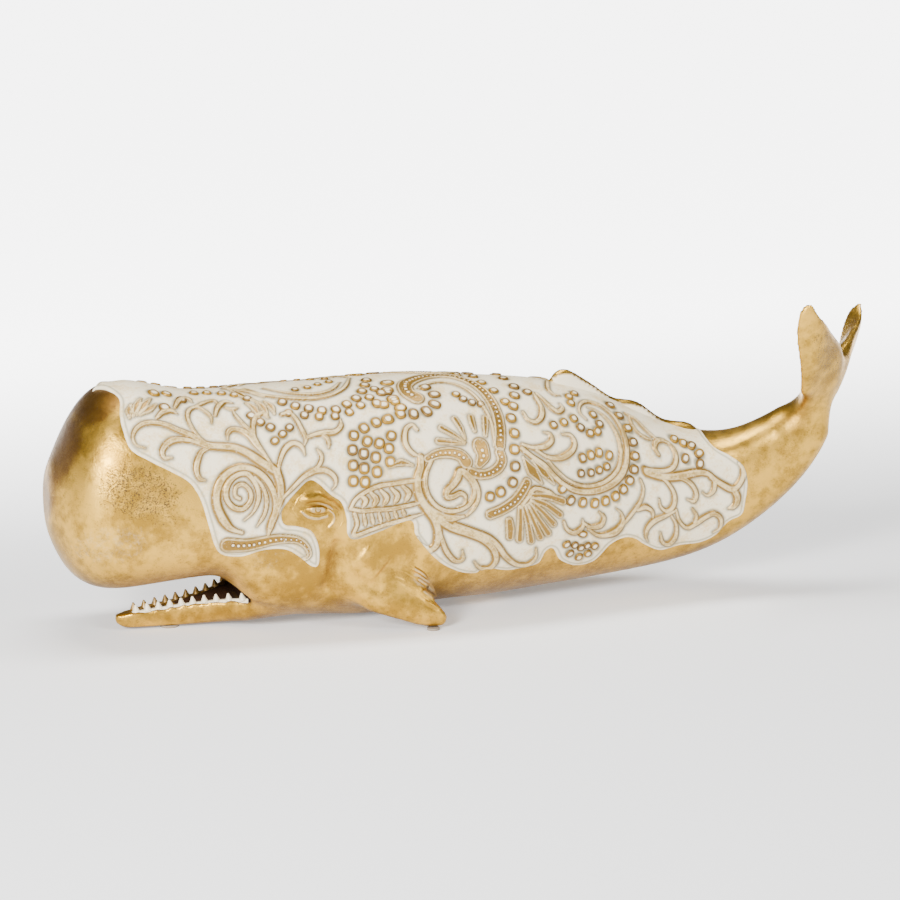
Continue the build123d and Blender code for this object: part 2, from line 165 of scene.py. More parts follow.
@dataclass(frozen=True)
class Drawing:
    """A path drawn on a sheet."""

    sheet: Sheet
    points: Path

    def pixels(self) -> np.ndarray:
        """The path in photo pixels."""
        corner = (self.sheet.left, self.sheet.top)
        return np.array(self.points, dtype=float) / self.sheet.zoom + corner


@dataclass(frozen=True)
class Stroke(Drawing):
    """One carved stroke."""

    pen: Pen


@dataclass(frozen=True)
class StudRow(Drawing):
    """Raised studs set evenly along a path: how many, and how long each is across the path."""

    count: int
    length: float
    width: float


@dataclass(frozen=True)
class SkinMark(Drawing):
    """A groove or a ridge pressed into the skin: width in photo pixels, height in millimetres."""

    width: float
    height: float


def drawn(kind: type[Drawing], sheet: Sheet, *rows: tuple) -> tuple[Drawing, ...]:
    """Drawings on one sheet, from rows of their other values and, last, their points."""
    return tuple(kind(sheet, row[-1], *row[:-1]) for row in rows)


HEAD_SHEET = Sheet(100.0, 375.0, 6.0)
FLANK_SHEET = Sheet(380.0, 365.0, 6.5)
TAIL_SHEET = Sheet(560.0, 390.0, 8.0)
FLIPPER_SHEET = Sheet(270.0, 470.0, 7.84)

THIN = Pen(Form.TENDRIL, 1.0, 1.6, 1.3)
EVEN = Pen(Form.TENDRIL, 1.6, 1.8, 1.6)
HOOK = Pen(Form.TENDRIL, 1.2, 2.2, 1.6)
SWELL = Pen(Form.TENDRIL, 1.0, 3.0, 1.2)
STEM = Pen(Form.TENDRIL, 3.2, 2.4, 1.2)
PETAL = Pen(Form.LEAF, 1.4, 3.4, 1.2)

STROKES = (
    # Branch over the forehead
    *drawn(
        Stroke, HEAD_SHEET,
        (STEM, ((1040, 570), (960, 520), (880, 470), (800, 440), (720, 434), (640, 425), (590, 395),
         (540, 367), (460, 335), (390, 305), (320, 292), (255, 300), (210, 335), (196, 385), (220, 425),
         (270, 440))),
        (HOOK, ((640, 435), (560, 405), (500, 393), (440, 395), (395, 420), (370, 460), (385, 500),
         (430, 498))),
        (HOOK, ((650, 440), (605, 468), (582, 520), (575, 575), (595, 620), (630, 632))),
        (THIN, ((640, 425), (585, 370), (548, 320), (522, 265), (532, 220), (580, 203), (630, 228),
         (665, 262), (668, 295))),
        (THIN, ((540, 215), (595, 190), (640, 172), (680, 165), (704, 185))),
        (THIN, ((1045, 568), (1000, 500), (950, 425), (905, 350), (855, 300), (812, 252), (790, 212))),
        (THIN, ((752, 205), (788, 214), (825, 208))),
        (HOOK, ((925, 375), (918, 310), (935, 258), (975, 238), (1012, 262))),
        (HOOK, ((985, 480), (930, 420), (885, 362), (830, 335), (782, 335), (762, 362), (765, 392))),
        (HOOK, ((1066, 580), (1078, 515), (1108, 448), (1155, 415), (1205, 432), (1228, 480))),
        (EVEN, ((1090, 245), (1132, 236), (1172, 270), (1205, 328), (1232, 385), (1225, 425))),
        (HOOK, ((1228, 385), (1290, 362), (1345, 352), (1405, 348), (1442, 315), (1440, 272))),
        (THIN, ((1325, 358), (1365, 390), (1372, 440))),
        (HOOK, ((1085, 745), (1150, 680), (1220, 612), (1290, 575), (1355, 575), (1405, 612),
         (1412, 655), (1392, 685))),
        (THIN, ((1250, 590), (1310, 545), (1328, 490), (1300, 448))),
    ),
    # Great spiral before the eye
    *drawn(
        Stroke, HEAD_SHEET,
        (Pen(Form.TENDRIL, 3.0, 2.8, 2.4), ((1055, 575), (1078, 650), (1080, 730), (1055, 815),
         (1025, 890), (1005, 965))),
        (Pen(Form.TENDRIL, 2.0, 2.6, 3.6), ((1035, 870), (1052, 770), (1030, 680), (975, 605),
         (900, 562), (820, 560), (745, 605), (703, 680), (697, 765), (728, 850), (780, 915), (850, 942))),
        (THIN, ((925, 612), (972, 665), (998, 745), (985, 830), (940, 905))),
        (Pen(Form.TENDRIL, 1.4, 2.2, 1.6), ((835, 740), (808, 722), (812, 672), (855, 655), (898, 695),
         (900, 752), (855, 800), (795, 790), (755, 735), (760, 665), (805, 608), (875, 592), (930, 650),
         (950, 730), (920, 815), (865, 868))),
    ),
    # Beaded scroll under the eye
    *drawn(
        Stroke, HEAD_SHEET,
        (Pen(Form.RIBBON, 7.0, 4.6, 1.8), ((765, 1015), (860, 1018), (950, 1005), (1040, 985),
         (1120, 980), (1190, 990), (1240, 1030), (1252, 1080), (1215, 1105))),
    ),
    # Winged leaf behind the eye
    *drawn(
        Stroke, HEAD_SHEET,
        (EVEN, ((1500, 800), (1530, 745), (1590, 700), (1670, 665), (1760, 650), (1860, 636),
         (1935, 628))),
        (EVEN, ((1500, 800), (1570, 812), (1650, 805), (1740, 800), (1850, 778), (1935, 758))),
        (EVEN, ((1525, 830), (1540, 890), (1522, 958), (1620, 925), (1720, 890), (1830, 860),
         (1935, 828))),
        (HOOK, ((1562, 720), (1592, 752), (1572, 792))),
        (HOOK, ((1620, 702), (1655, 745), (1632, 788))),
        (HOOK, ((1682, 690), (1718, 735), (1696, 780))),
        (HOOK, ((1745, 678), (1782, 722), (1760, 772))),
        (HOOK, ((1812, 664), (1850, 708), (1826, 760))),
        (THIN, ((1580, 832), (1592, 905))),
        (THIN, ((1625, 830), (1638, 895))),
        (THIN, ((1670, 826), (1684, 882))),
        (THIN, ((1715, 822), (1730, 868))),
        (THIN, ((1762, 815), (1778, 856))),
        (THIN, ((1812, 808), (1826, 842))),
    ),
    # Half paisley on the crest
    *drawn(
        Stroke, HEAD_SHEET,
        (EVEN, ((745, 88), (850, 108), (1000, 135), (1150, 150), (1290, 150), (1400, 125), (1470, 82),
         (1498, 30))),
        (THIN, ((980, 92), (1080, 112), (1200, 125), (1310, 122), (1395, 95), (1440, 55))),
        (PETAL, ((770, 98), (850, 135), (940, 172))),
        (PETAL, ((860, 95), (920, 118), (985, 142))),
    ),
    # Small leaves and curls along the crest
    *drawn(
        Stroke, HEAD_SHEET,
        (PETAL, ((875, 178), (925, 212), (958, 268))),
        (PETAL, ((930, 168), (978, 205), (1004, 262))),
        (PETAL, ((985, 168), (1025, 200), (1046, 240))),
        (HOOK, ((690, 250), (705, 205), (745, 172), (792, 178))),
        (HOOK, ((445, 205), (470, 165), (515, 150), (548, 172))),
        (HOOK, ((340, 262), (372, 232), (420, 222), (458, 240))),
    ),
    *drawn(
        Stroke, FLANK_SHEET,
        (PETAL, ((62, 662), (135, 636), (212, 652))),
    ),
    # Fan on the forehead
    *drawn(
        Stroke, HEAD_SHEET,
        (PETAL, ((178, 262), (172, 225), (185, 185))),
        (PETAL, ((200, 250), (215, 200), (242, 150))),
        (PETAL, ((222, 245), (258, 195), (300, 150))),
        (PETAL, ((240, 245), (290, 215), (335, 185))),
    ),
    # Beaded crescent on the flank
    *drawn(
        Stroke, FLANK_SHEET,
        (Pen(Form.RIBBON, 8.0, 5.2, 5.6), ((232, 222), (178, 190), (160, 145), (205, 112), (300, 88),
         (420, 84), (540, 108), (640, 160), (712, 235), (758, 330), (775, 430), (772, 525))),
        (THIN, ((250, 165), (330, 130), (420, 125), (520, 150), (600, 200), (660, 270), (705, 350),
         (730, 440), (735, 530))),
    ),
    # Open scroll with its beaded head
    *drawn(
        Stroke, FLANK_SHEET,
        (HOOK, ((238, 425), (205, 396), (165, 425), (158, 500), (195, 565), (258, 602))),
        (Pen(Form.RIBBON, 6.4, 5.0, 3.6), ((555, 630), (520, 590), (450, 572), (370, 580), (305, 610))),
        (Pen(Form.TENDRIL, 2.4, 3.6, 3.0), ((262, 602), (262, 660), (240, 740), (248, 830), (290, 910),
         (360, 960), (450, 990), (540, 980))),
        (EVEN, ((330, 620), (300, 690), (290, 770), (312, 850), (365, 915), (440, 945), (520, 935),
         (585, 890), (608, 820), (590, 760), (545, 715), (505, 690))),
        (SWELL, ((560, 975), (610, 920), (635, 840), (612, 765), (555, 705), (515, 690), (500, 730),
         (470, 775), (432, 815), (432, 855), (475, 850), (515, 830), (550, 850), (545, 895), (500, 918))),
    ),
    # Drops and bands before the great paisley
    *drawn(
        Stroke, FLANK_SHEET,
        (Pen(Form.RIBBON, 8.0, 7.0, 4.0), ((650, 530), (665, 590), (640, 645))),
        (Pen(Form.RIBBON, 5.0, 4.6, 4.4), ((775, 572), (788, 620), (760, 672), (705, 705), (640, 712),
         (588, 695))),
        (Pen(Form.RIBBON, 5.0, 5.2, 4.6), ((712, 968), (790, 935), (862, 888), (915, 825), (950, 762))),
        (Pen(Form.LEAF, 1.2, 2.8, 3.2), ((545, 515), (450, 505), (375, 498))),
        (Pen(Form.LEAF, 1.2, 2.8, 3.2), ((550, 505), (470, 455), (395, 415))),
        (Pen(Form.LEAF, 1.2, 2.8, 3.2), ((550, 485), (520, 415), (482, 358))),
        (Pen(Form.LEAF, 2.0, 3.0, 3.0), ((612, 432), (598, 390), (585, 345))),
        (Pen(Form.LEAF, 2.0, 3.0, 3.0), ((680, 462), (680, 400), (678, 352))),
    ),
    # Great paisley
    *drawn(
        Stroke, FLANK_SHEET,
        (Pen(Form.TENDRIL, 2.0, 2.6, 1.6), ((915, 545), (985, 600), (1060, 650), (1120, 715),
         (1190, 775), (1280, 815), (1390, 815), (1490, 775), (1560, 710), (1592, 625), (1592, 525),
         (1562, 425), (1500, 335), (1425, 275), (1345, 248), (1295, 265), (1292, 315), (1335, 360))),
        (THIN, ((1090, 625), (1150, 690), (1215, 745), (1300, 780), (1390, 778), (1470, 745),
         (1530, 685), (1555, 610), (1555, 530), (1525, 440), (1470, 360), (1400, 305), (1345, 285))),
        (Pen(Form.LEAF, 1.2, 6.0, 1.6), ((925, 600), (970, 670), (1045, 765))),
        (Pen(Form.LEAF, 1.2, 4.4, 1.6), ((985, 620), (1050, 690), (1125, 768))),
        (HOOK, ((925, 315), (955, 360), (1005, 378), (1042, 345), (1045, 290), (1015, 235), (990, 190))),
        (HOOK, ((1010, 195), (1060, 240), (1105, 285), (1150, 312), (1180, 290), (1165, 262))),
        (HOOK, ((920, 520), (990, 540), (1065, 532), (1108, 495), (1098, 455), (1060, 442))),
        (HOOK, ((1010, 558), (1085, 600), (1165, 605), (1235, 565), (1258, 510), (1230, 462),
         (1180, 455))),
        (THIN, ((1085, 110), (1085, 160), (1120, 200), (1165, 208))),
    ),
    # Palm leaf under it
    *drawn(
        Stroke, FLANK_SHEET,
        (Pen(Form.LEAF, 3.0, 3.4, 4.0), ((985, 845), (1080, 850), (1180, 880))),
        (Pen(Form.LEAF, 3.0, 3.4, 4.0), ((985, 870), (1075, 905), (1160, 965))),
        (Pen(Form.LEAF, 3.0, 3.2, 4.0), ((980, 890), (1050, 950), (1120, 1025))),
        (Pen(Form.LEAF, 3.0, 3.2, 4.0), ((965, 905), (1020, 990), (1085, 1085))),
        (Pen(Form.LEAF, 3.0, 3.2, 4.0), ((950, 915), (990, 1010), (1035, 1110))),
        (Pen(Form.LEAF, 3.0, 3.2, 4.0), ((930, 920), (955, 1020), (975, 1135))),
        (Pen(Form.LEAF, 3.0, 3.4, 4.0), ((905, 925), (905, 1030), (900, 1125))),
        (Pen(Form.LEAF, 4.0, 4.6, 4.0), ((835, 1010), (840, 1060), (838, 1110))),
        (EVEN, ((905, 920), (960, 850), (1000, 800), (1085, 820), (1140, 850))),
    ),
    # Scrolls along the lower edge
    *drawn(
        Stroke, FLANK_SHEET,
        (Pen(Form.TENDRIL, 3.4, 3.0, 2.2), ((300, 930), (350, 1000), (372, 1080), (360, 1160),
         (315, 1195), (262, 1180), (240, 1125))),
        (HOOK, ((370, 1020), (392, 1110), (425, 1200), (480, 1262), (530, 1255), (532, 1200))),
        (Pen(Form.TENDRIL, 3.2, 3.0, 2.0), ((365, 990), (460, 1050), (570, 1088), (670, 1130),
         (735, 1195), (745, 1265), (700, 1310), (640, 1305), (608, 1270))),
        (Pen(Form.TENDRIL, 2.4, 2.6, 1.8), ((480, 1035), (600, 1075), (700, 1115), (762, 1170),
         (810, 1235), (880, 1285), (955, 1285), (1005, 1240), (1008, 1185))),
        (HOOK, ((1188, 1012), (1208, 1060), (1258, 1082), (1308, 1045), (1312, 1000))),
        (HOOK, ((1310, 1015), (1360, 1045), (1425, 1035), (1448, 985), (1420, 950))),
        (SWELL, ((1345, 1060), (1420, 1100), (1515, 1080), (1568, 1020), (1562, 960), (1530, 930))),
        (THIN, ((1688, 745), (1705, 800), (1685, 880), (1625, 965), (1560, 1045))),
    ),
    # Acanthus towards the tail
    *drawn(
        Stroke, TAIL_SHEET,
        (EVEN, ((520, 205), (590, 245), (655, 310), (715, 365), (770, 405))),
        (THIN, ((545, 225), (565, 285), (610, 345), (665, 385), (725, 405))),
        (EVEN, ((775, 515), (748, 465), (765, 418), (820, 415), (885, 460), (920, 535), (905, 605),
         (855, 640), (775, 645), (680, 625))),
        (Pen(Form.TENDRIL, 3.2, 2.6, 1.6), ((680, 650), (780, 682), (890, 692), (990, 678), (1085, 658),
         (1170, 665), (1225, 715), (1222, 795), (1175, 838), (1135, 815))),
        (Pen(Form.TENDRIL, 2.4, 2.8, 2.0), ((1200, 690), (1290, 750), (1380, 785), (1440, 725),
         (1462, 645), (1430, 585))),
        (Pen(Form.TENDRIL, 2.4, 2.6, 2.0), ((1380, 785), (1412, 850), (1395, 915), (1345, 940))),
        (HOOK, ((870, 690), (975, 705), (1048, 755), (1082, 825), (1062, 880), (1012, 870))),
        (HOOK, ((690, 668), (790, 690), (862, 750), (905, 830), (900, 915), (850, 960), (800, 930),
         (788, 870))),
        (HOOK, ((610, 955), (675, 930), (728, 962), (735, 1010))),
        (HOOK, ((905, 962), (830, 1000), (745, 1038), (690, 1098), (678, 1160), (695, 1200))),
        (HOOK, ((920, 950), (945, 1035), (1005, 1092), (1075, 1062), (1150, 1010), (1225, 980),
         (1278, 1020), (1272, 1090), (1222, 1128))),
        (THIN, ((1055, 948), (1085, 1000), (1062, 1065))),
        (HOOK, ((885, 1000), (922, 1070), (915, 1160), (865, 1220), (812, 1205), (798, 1135))),
    ),
)

STUD_ROWS = (
    # Round the half paisley on the crest
    *drawn(
        StudRow, HEAD_SHEET,
        (10, 5.2, 4.6, ((1092, 172), (1185, 195), (1265, 212), (1330, 222), (1400, 218), (1468, 190),
         (1522, 160), (1562, 118), (1585, 78), (1598, 42))),
        (4, 3.6, 3.6, ((1170, 98), (1240, 86), (1310, 66), (1372, 52))),
        (8, 4.6, 4.2, ((1130, 236), (1230, 248), (1330, 258), (1430, 250), (1520, 215), (1600, 160),
         (1648, 95))),
    ),
    # Scattered over the head
    *drawn(
        StudRow, HEAD_SHEET,
        (5, 4.4, 4.4, ((560, 120), (640, 118), (720, 120), (800, 128), (880, 150))),
        (3, 4.4, 4.8, ((905, 250), (960, 290), (1020, 320))),
        (2, 4.6, 5.2, ((395, 122), (488, 160))),
        (2, 5.6, 5.6, ((318, 118), (384, 205))),
        (3, 4.0, 4.4, ((1048, 398), (1096, 360), (1136, 322))),
    ),
    # Rows behind the branch
    *drawn(
        StudRow, HEAD_SHEET,
        (4, 5.0, 5.6, ((1520, 366), (1514, 440), (1520, 528), (1518, 636))),
        (4, 5.6, 5.0, ((1582, 322), (1650, 290), (1722, 272), (1800, 240))),
        (4, 5.0, 5.8, ((1600, 400), (1580, 470), (1585, 550), (1590, 640))),
        (3, 5.0, 5.8, ((1672, 412), (1650, 490), (1662, 580))),
        (3, 5.0, 5.4, ((1745, 370), (1730, 440), (1742, 520))),
        (2, 5.6, 5.0, ((1660, 180), (1765, 165))),
        (2, 5.2, 4.6, ((1722, 110), (1730, 55))),
    ),
    # Fan round the beaded crescent
    *drawn(
        StudRow, FLANK_SHEET,
        (9, 6.4, 5.0, ((290, 155), (352, 205), (352, 262), (318, 300), (252, 322), (160, 312),
         (95, 248), (50, 180), (40, 130))),
        (3, 5.4, 4.8, ((42, 360), (18, 262), (10, 190))),
        (4, 4.4, 4.0, ((490, 200), (545, 235), (598, 255), (648, 262))),
        (5, 5.0, 4.4, ((500, 58), (585, 68), (665, 130), (745, 185), (812, 248))),
        (9, 5.4, 5.2, ((868, 150), (870, 225), (848, 335), (870, 412), (868, 515), (872, 612),
         (872, 710), (842, 785), (780, 822))),
        (1, 5.0, 5.0, ((712, 855), (712, 855))),
        (2, 5.0, 4.6, ((800, 98), (955, 185))),
    ),
    # Border of the great paisley
    *drawn(
        StudRow, FLANK_SHEET,
        (14, 5.4, 4.8, ((1180, 800), (1240, 880), (1320, 892), (1412, 892), (1488, 872), (1548, 832),
         (1602, 775), (1636, 700), (1650, 630), (1650, 560), (1632, 490), (1602, 412), (1550, 340),
         (1490, 270))),
    ),
    # Inside the great paisley
    *drawn(
        StudRow, FLANK_SHEET,
        (3, 4.4, 4.4, ((1122, 395), (1185, 380), (1252, 352))),
        (5, 4.4, 4.6, ((1298, 410), (1352, 448), (1402, 440), (1420, 388), (1380, 330))),
        (4, 5.2, 4.2, ((1310, 605), (1362, 585), (1428, 572), (1482, 590))),
        (4, 4.2, 4.0, ((1302, 705), (1362, 700), (1420, 680), (1468, 660))),
        (3, 4.4, 4.4, ((1222, 215), (1228, 275), (1258, 195))),
    ),
    # Shell at the lower edge
    *drawn(
        StudRow, FLANK_SHEET,
        (5, 4.6, 4.2, ((1206, 1160), (1225, 1215), (1280, 1238), (1340, 1220), (1390, 1170))),
        (3, 4.0, 4.0, ((1262, 1165), (1300, 1182), (1340, 1165))),
        (1, 3.6, 6.0, ((1312, 1090), (1312, 1090))),
    ),
    # Small fan near the tail
    *drawn(
        StudRow, TAIL_SHEET,
        (4, 5.6, 4.4, ((905, 402), (968, 432), (1042, 452), (1105, 510))),
        (2, 5.2, 4.2, ((998, 552), (1112, 592))),
    ),
)

SKIN_MARKS = drawn(
    # Fold between the head and the shoulder, and the round of the shoulder
    SkinMark, FLIPPER_SHEET,
    (15.0, -2.4, ((560, 520), (535, 640), (505, 760), (470, 880), (430, 990))),
    (34.0, 2.2, ((700, 640), (790, 710), (880, 780))),
    (12.0, -0.8, ((640, 830), (760, 900), (880, 960))),
)


@dataclass(frozen=True)
class Stain:
    """A soft oval of patina, pits, pale wear, or painted shade in folds and underneath: its place and half
    sizes in photo pixels, its slant and its strength.
    """

    kind: str
    place: tuple[float, float]
    size: tuple[float, float]
    slant: float
    strength: float


TINTS = (
    # Dark crown and face edge of the head: patina and pits, with painted shade where the head turns away
    # from the light
    Stain("brown", (98, 404), (34, 20), -38.0, 1.0),
    Stain("brown", (66, 450), (16, 52), 20.0, 0.85),
    Stain("brown", (50, 490), (9, 40), 6.0, 0.7),
    Stain("brown", (150, 495), (30, 11), 14.0, 0.45),
    Stain("brown", (120, 470), (16, 22), 0.0, 0.35),
    Stain("speck", (140, 492), (62, 42), 10.0, 1.0),
    Stain("speck", (84, 430), (50, 60), 0.0, 0.75),
    Stain("speck", (165, 518), (26, 12), -10.0, 0.9),
    # Pale worn patches on the cheek and the jaw
    Stain("pale", (110, 545), (60, 28), -6.0, 0.45),
    Stain("pale", (268, 560), (28, 18), 0.0, 0.4),
    Stain("pale", (322, 512), (20, 12), 0.0, 0.6),
    Stain("pale", (422, 580), (12, 9), 30.0, 0.7),
    Stain("pale", (515, 590), (90, 12), -8.0, 0.35),
    # Painted shade in the fold between head and shoulder and under the shoulder
    Stain("brown", (332, 562), (9, 26), 6.0, 0.55),
    Stain("brown", (398, 575), (30, 9), 18.0, 0.45),
    # Stock and flukes: painted shade along the underside of the stock, darker patches and pits on the
    # flukes
    Stain("brown", (765, 458), (50, 12), -22.0, 0.35),
    Stain("brown", (800, 415), (16, 30), 30.0, 0.5),
    Stain("speck", (826, 352), (20, 38), -20.0, 0.9),
    Stain("speck", (850, 330), (12, 26), 20.0, 0.9),
    Stain("brown", (836, 345), (12, 30), -20.0, 0.4),
)


@dataclass(frozen=True)
class View:
    """The photograph's camera, as plain vectors in millimetres."""

    place: np.ndarray
    forward: np.ndarray
    right: np.ndarray
    up: np.ndarray

    @classmethod
    def of_photo(cls) -> "View":
        """Places the photograph's camera.

        Returns:
            The camera, from its named distance and angles.
        """
        azimuth, elevation = math.radians(CAMERA_AZIMUTH), math.radians(CAMERA_ELEVATION)
        level = math.cos(elevation)
        back = np.array(
            [math.sin(azimuth) * level, -math.cos(azimuth) * level, math.sin(elevation)]
        )
        right = np.cross(-back, (0.0, 0.0, 1.0))
        right /= np.linalg.norm(right)
        place = np.array(CAMERA_TARGET) + back * CAMERA_DISTANCE
        return cls(place, -back, right, np.cross(right, -back))

    def pixels(self, points: np.ndarray) -> np.ndarray:
        """Projects points.

        Args:
            points: Rows of x, y, z in millimetres.

        Returns:
            Rows of photo pixels, x to the right and y down.
        """
        rays = points - self.place
        depth = rays @ self.forward
        across = PHOTO_SIZE / 2 + FOCAL_PIXELS * (rays @ self.right) / depth
        down = PHOTO_SIZE / 2 - CAMERA_SHIFT_PIXELS - FOCAL_PIXELS * (rays @ self.up) / depth
        return np.stack([across, down], axis=-1)

    def near_pixels(self, points: np.ndarray) -> np.ndarray:
        """Projects points, those of the far side from their mirror image.

        Args:
            points: Rows of x, y, z in millimetres.

        Returns:
            Rows of photo pixels.
        """
        near = points.copy()
        near[:, 1] = -np.abs(near[:, 1])
        return self.pixels(near)

    def ray(self, x: float, y: float) -> np.ndarray:
        """Finds the direction from the camera through a photo pixel.

        Args:
            x: Pixels to the right.
            y: Pixels down.

        Returns:
            The direction, of length 1.
        """
        across = (x - PHOTO_SIZE / 2) / FOCAL_PIXELS
        above = (PHOTO_SIZE / 2 - CAMERA_SHIFT_PIXELS - y) / FOCAL_PIXELS
        direction = self.forward + self.right * across + self.up * above
        return direction / np.linalg.norm(direction)


def smoothstep(low: float, high: float, value: np.ndarray) -> np.ndarray:
    """Rises smoothly from 0 at low to 1 at high, or falls where high is the smaller.

    Args:
        low: Where the result is 0.
        high: Where the result is 1.
        value: The values.

    Returns:
        A share for each value.
    """
    part = np.clip((value - low) / (high - low), 0.0, 1.0)
    return part * part * (3 - 2 * part)


def blur(values: np.ndarray, rounds: int) -> np.ndarray:
    """Averages each row with its neighbours, and keeps both ends.

    Args:
        values: The rows.
        rounds: How often they are averaged.

    Returns:
        The smoother rows.
    """
    for _ in range(rounds):
        middle = (values[:-2] + 2 * values[1:-1] + values[2:]) / 4
        values = np.concatenate([values[:1], middle, values[-1:]])
    return values


def spline(corners: tuple[np.ndarray, ...], part: np.ndarray) -> np.ndarray:
    """Follows a smooth curve between the second and the third of four points.

    Args:
        corners: The four points.
        part: Shares of the way.

    Returns:
        The points on the curve.
    """
    before, first, second, after = corners
    cubic = 3 * (first - second) + after - before
    square = 2 * before - 5 * first + 4 * second - after
    return first + 0.5 * part * (second - before + part * (square + part * cubic))


def cubic_rows(known: np.ndarray, values: np.ndarray, wanted: np.ndarray) -> np.ndarray:
    """Fills in rows smoothly between evenly spaced ones.

    Args:
        known: Where the known rows lie.
        values: The known rows.
        wanted: Where rows are wanted.

    Returns:
        The wanted rows.
    """
    place = np.clip((wanted - known[0]) / (known[1] - known[0]), 0, len(known) - 1.001)
    row = place.astype(int)
    padded = np.concatenate([values[:1], values, values[-1:]])
    return spline(tuple(padded[row + k] for k in range(4)), (place - row)[:, None])


def smooth_path(points: np.ndarray, step: float) -> np.ndarray:
    """Draws a smooth curve through control points.

    Args:
        points: The control points.
        step: The most that two points of the curve lie apart.

    Returns:
        The points of the curve.
    """
    padded = np.concatenate([[2 * points[0] - points[1]], points, [2 * points[-1] - points[-2]]])
    samples = []
    for corners in zip(padded, padded[1:], padded[2:], padded[3:]):
        count = max(2, int(np.linalg.norm(corners[2] - corners[1]) / step) + 1)
        part = np.linspace(0, 1, count, endpoint=False)[:, None]
        samples.append(spline(corners, part))
    return np.concatenate([*samples, points[-1:]])


def segment_distance(places: np.ndarray, path: np.ndarray) -> tuple[np.ndarray, np.ndarray]:
    """Measures the distance from places to a polyline.

    Args:
        places: Rows of two coordinates.
        path: The polyline's corners.

    Returns:
        The distance, and the share of the path's length at the nearest point.
    """
    start = path[:-1]
    run = path[1:] - start
    length = np.linalg.norm(run, axis=1)
    travelled = np.concatenate([[0.0], length.cumsum()])
    best = np.full(len(places), 1e9)
    share = np.zeros(len(places))
    for k in np.nonzero(length > 1e-9)[0]:
        offset = places - start[k]
        part = np.clip(offset @ run[k] / length[k] ** 2, 0, 1)
        gap = offset - part[:, None] * run[k]
        distance = np.hypot(gap[:, 0], gap[:, 1])
        nearer = distance < best
        best[nearer] = distance[nearer]
        share[nearer] = (travelled[k] + part[nearer] * length[k]) / travelled[-1]
    return best, share


def inside_polygon(places: np.ndarray, polygon: np.ndarray) -> np.ndarray:
    """Tells which places lie inside a closed polygon.

    Args:
        places: Rows of two coordinates.
        polygon: The polygon's corners.

    Returns:
        True or false for each place.
    """
    inside = np.zeros(len(places), dtype=bool)
    x, y = places[:, 0], places[:, 1]
    for (x0, y0), (x1, y1) in zip(polygon, np.roll(polygon, -1, axis=0)):
        crosses = (y0 > y) != (y1 > y)
        with np.errstate(divide="ignore", invalid="ignore"):
            level = (x1 - x0) * (y - y0) / (y1 - y0) + x0
        inside ^= crosses & (x < level)
    return inside


def surface_normals(places: np.ndarray) -> np.ndarray:
    """Finds the outward normals of a grid of places along X and round the girth.

    Args:
        places: The grid.

    Returns:
        A normal for each place.
    """
    normal = np.cross(np.gradient(places, axis=0), np.gradient(places, axis=1))
    normal /= np.maximum(np.linalg.norm(normal, axis=2, keepdims=True), 1e-9)
    return normal if normal[len(normal) // 2, 4, 2] > 0 else -normal


def node_arrays(node: bpy.types.Object) -> tuple[np.ndarray, np.ndarray]:
    """Reads the mesh of a CAD node.

    Args:
        node: The node.

    Returns:
        Its vertices in millimetres, and its triangles.
    """
    mesh = node.data
    mesh.calc_loop_triangles()
    points = np.empty(len(mesh.vertices) * 3)
    mesh.vertices.foreach_get("co", points)
    triangles = np.empty(len(mesh.loop_triangles) * 3, dtype=np.int64)
    mesh.loop_triangles.foreach_get("vertices", triangles)
    return points.reshape(-1, 3) / MM, triangles.reshape(-1, 3)


def bvh_of(points: np.ndarray, faces: np.ndarray) -> BVHTree:
    """Search tree of a mesh in millimetres."""
    return BVHTree.FromPolygons([Vector(p) for p in points], faces.tolist())


def link(name: str, data: bpy.types.ID) -> bpy.types.Object:
    """Makes an object of a mesh, a light or a camera, and puts it in the scene.

    Args:
        name: The object's name.
        data: What it shows.

    Returns:
        The new object, at the origin.
    """
    made = bpy.data.objects.new(name, data)
    bpy.context.scene.collection.objects.link(made)
    return made


def make_mesh(
    name: str, points: np.ndarray, faces: list[list[int]], normals: np.ndarray | None = None
) -> bpy.types.Object:
    """Makes a smooth mesh object.

    Args:
        name: The object's name.
        points: Vertex places in millimetres.
        faces: Vertex numbers of each face.
        normals: Vertex normals to shade with, if not the mesh's own.

    Returns:
        The new object, at the origin.
    """
    mesh = bpy.data.meshes.new(name)
    mesh.from_pydata((points * MM).tolist(), [], faces)
    mesh.polygons.foreach_set("use_smooth", [True] * len(mesh.polygons))
    mesh.update()
    if normals is not None:
        mesh.normals_split_custom_set_from_vertices(normals.tolist())
    return link(name, mesh)


def set_attribute(made: bpy.types.Object, name: str, values: np.ndarray) -> None:
    """Stores one value at each vertex."""
    attribute = made.data.attributes.new(name, "FLOAT", "POINT")
    attribute.data.foreach_set("value", values.astype(np.float32))


def cell_faces(keep: np.ndarray) -> np.ndarray:
    """Joins the kept points of a grid.

    Args:
        keep: Which points are kept.

    Returns:
        A quad for each cell whose four corners are kept.
    """
    number = np.arange(keep.size).reshape(keep.shape)
    corners = (number[:-1, :-1], number[1:, :-1], number[1:, 1:], number[:-1, 1:])
    cell = keep[:-1, :-1] & keep[1:, :-1] & keep[1:, 1:] & keep[:-1, 1:]
    return np.stack([corner[cell] for corner in corners], axis=1)


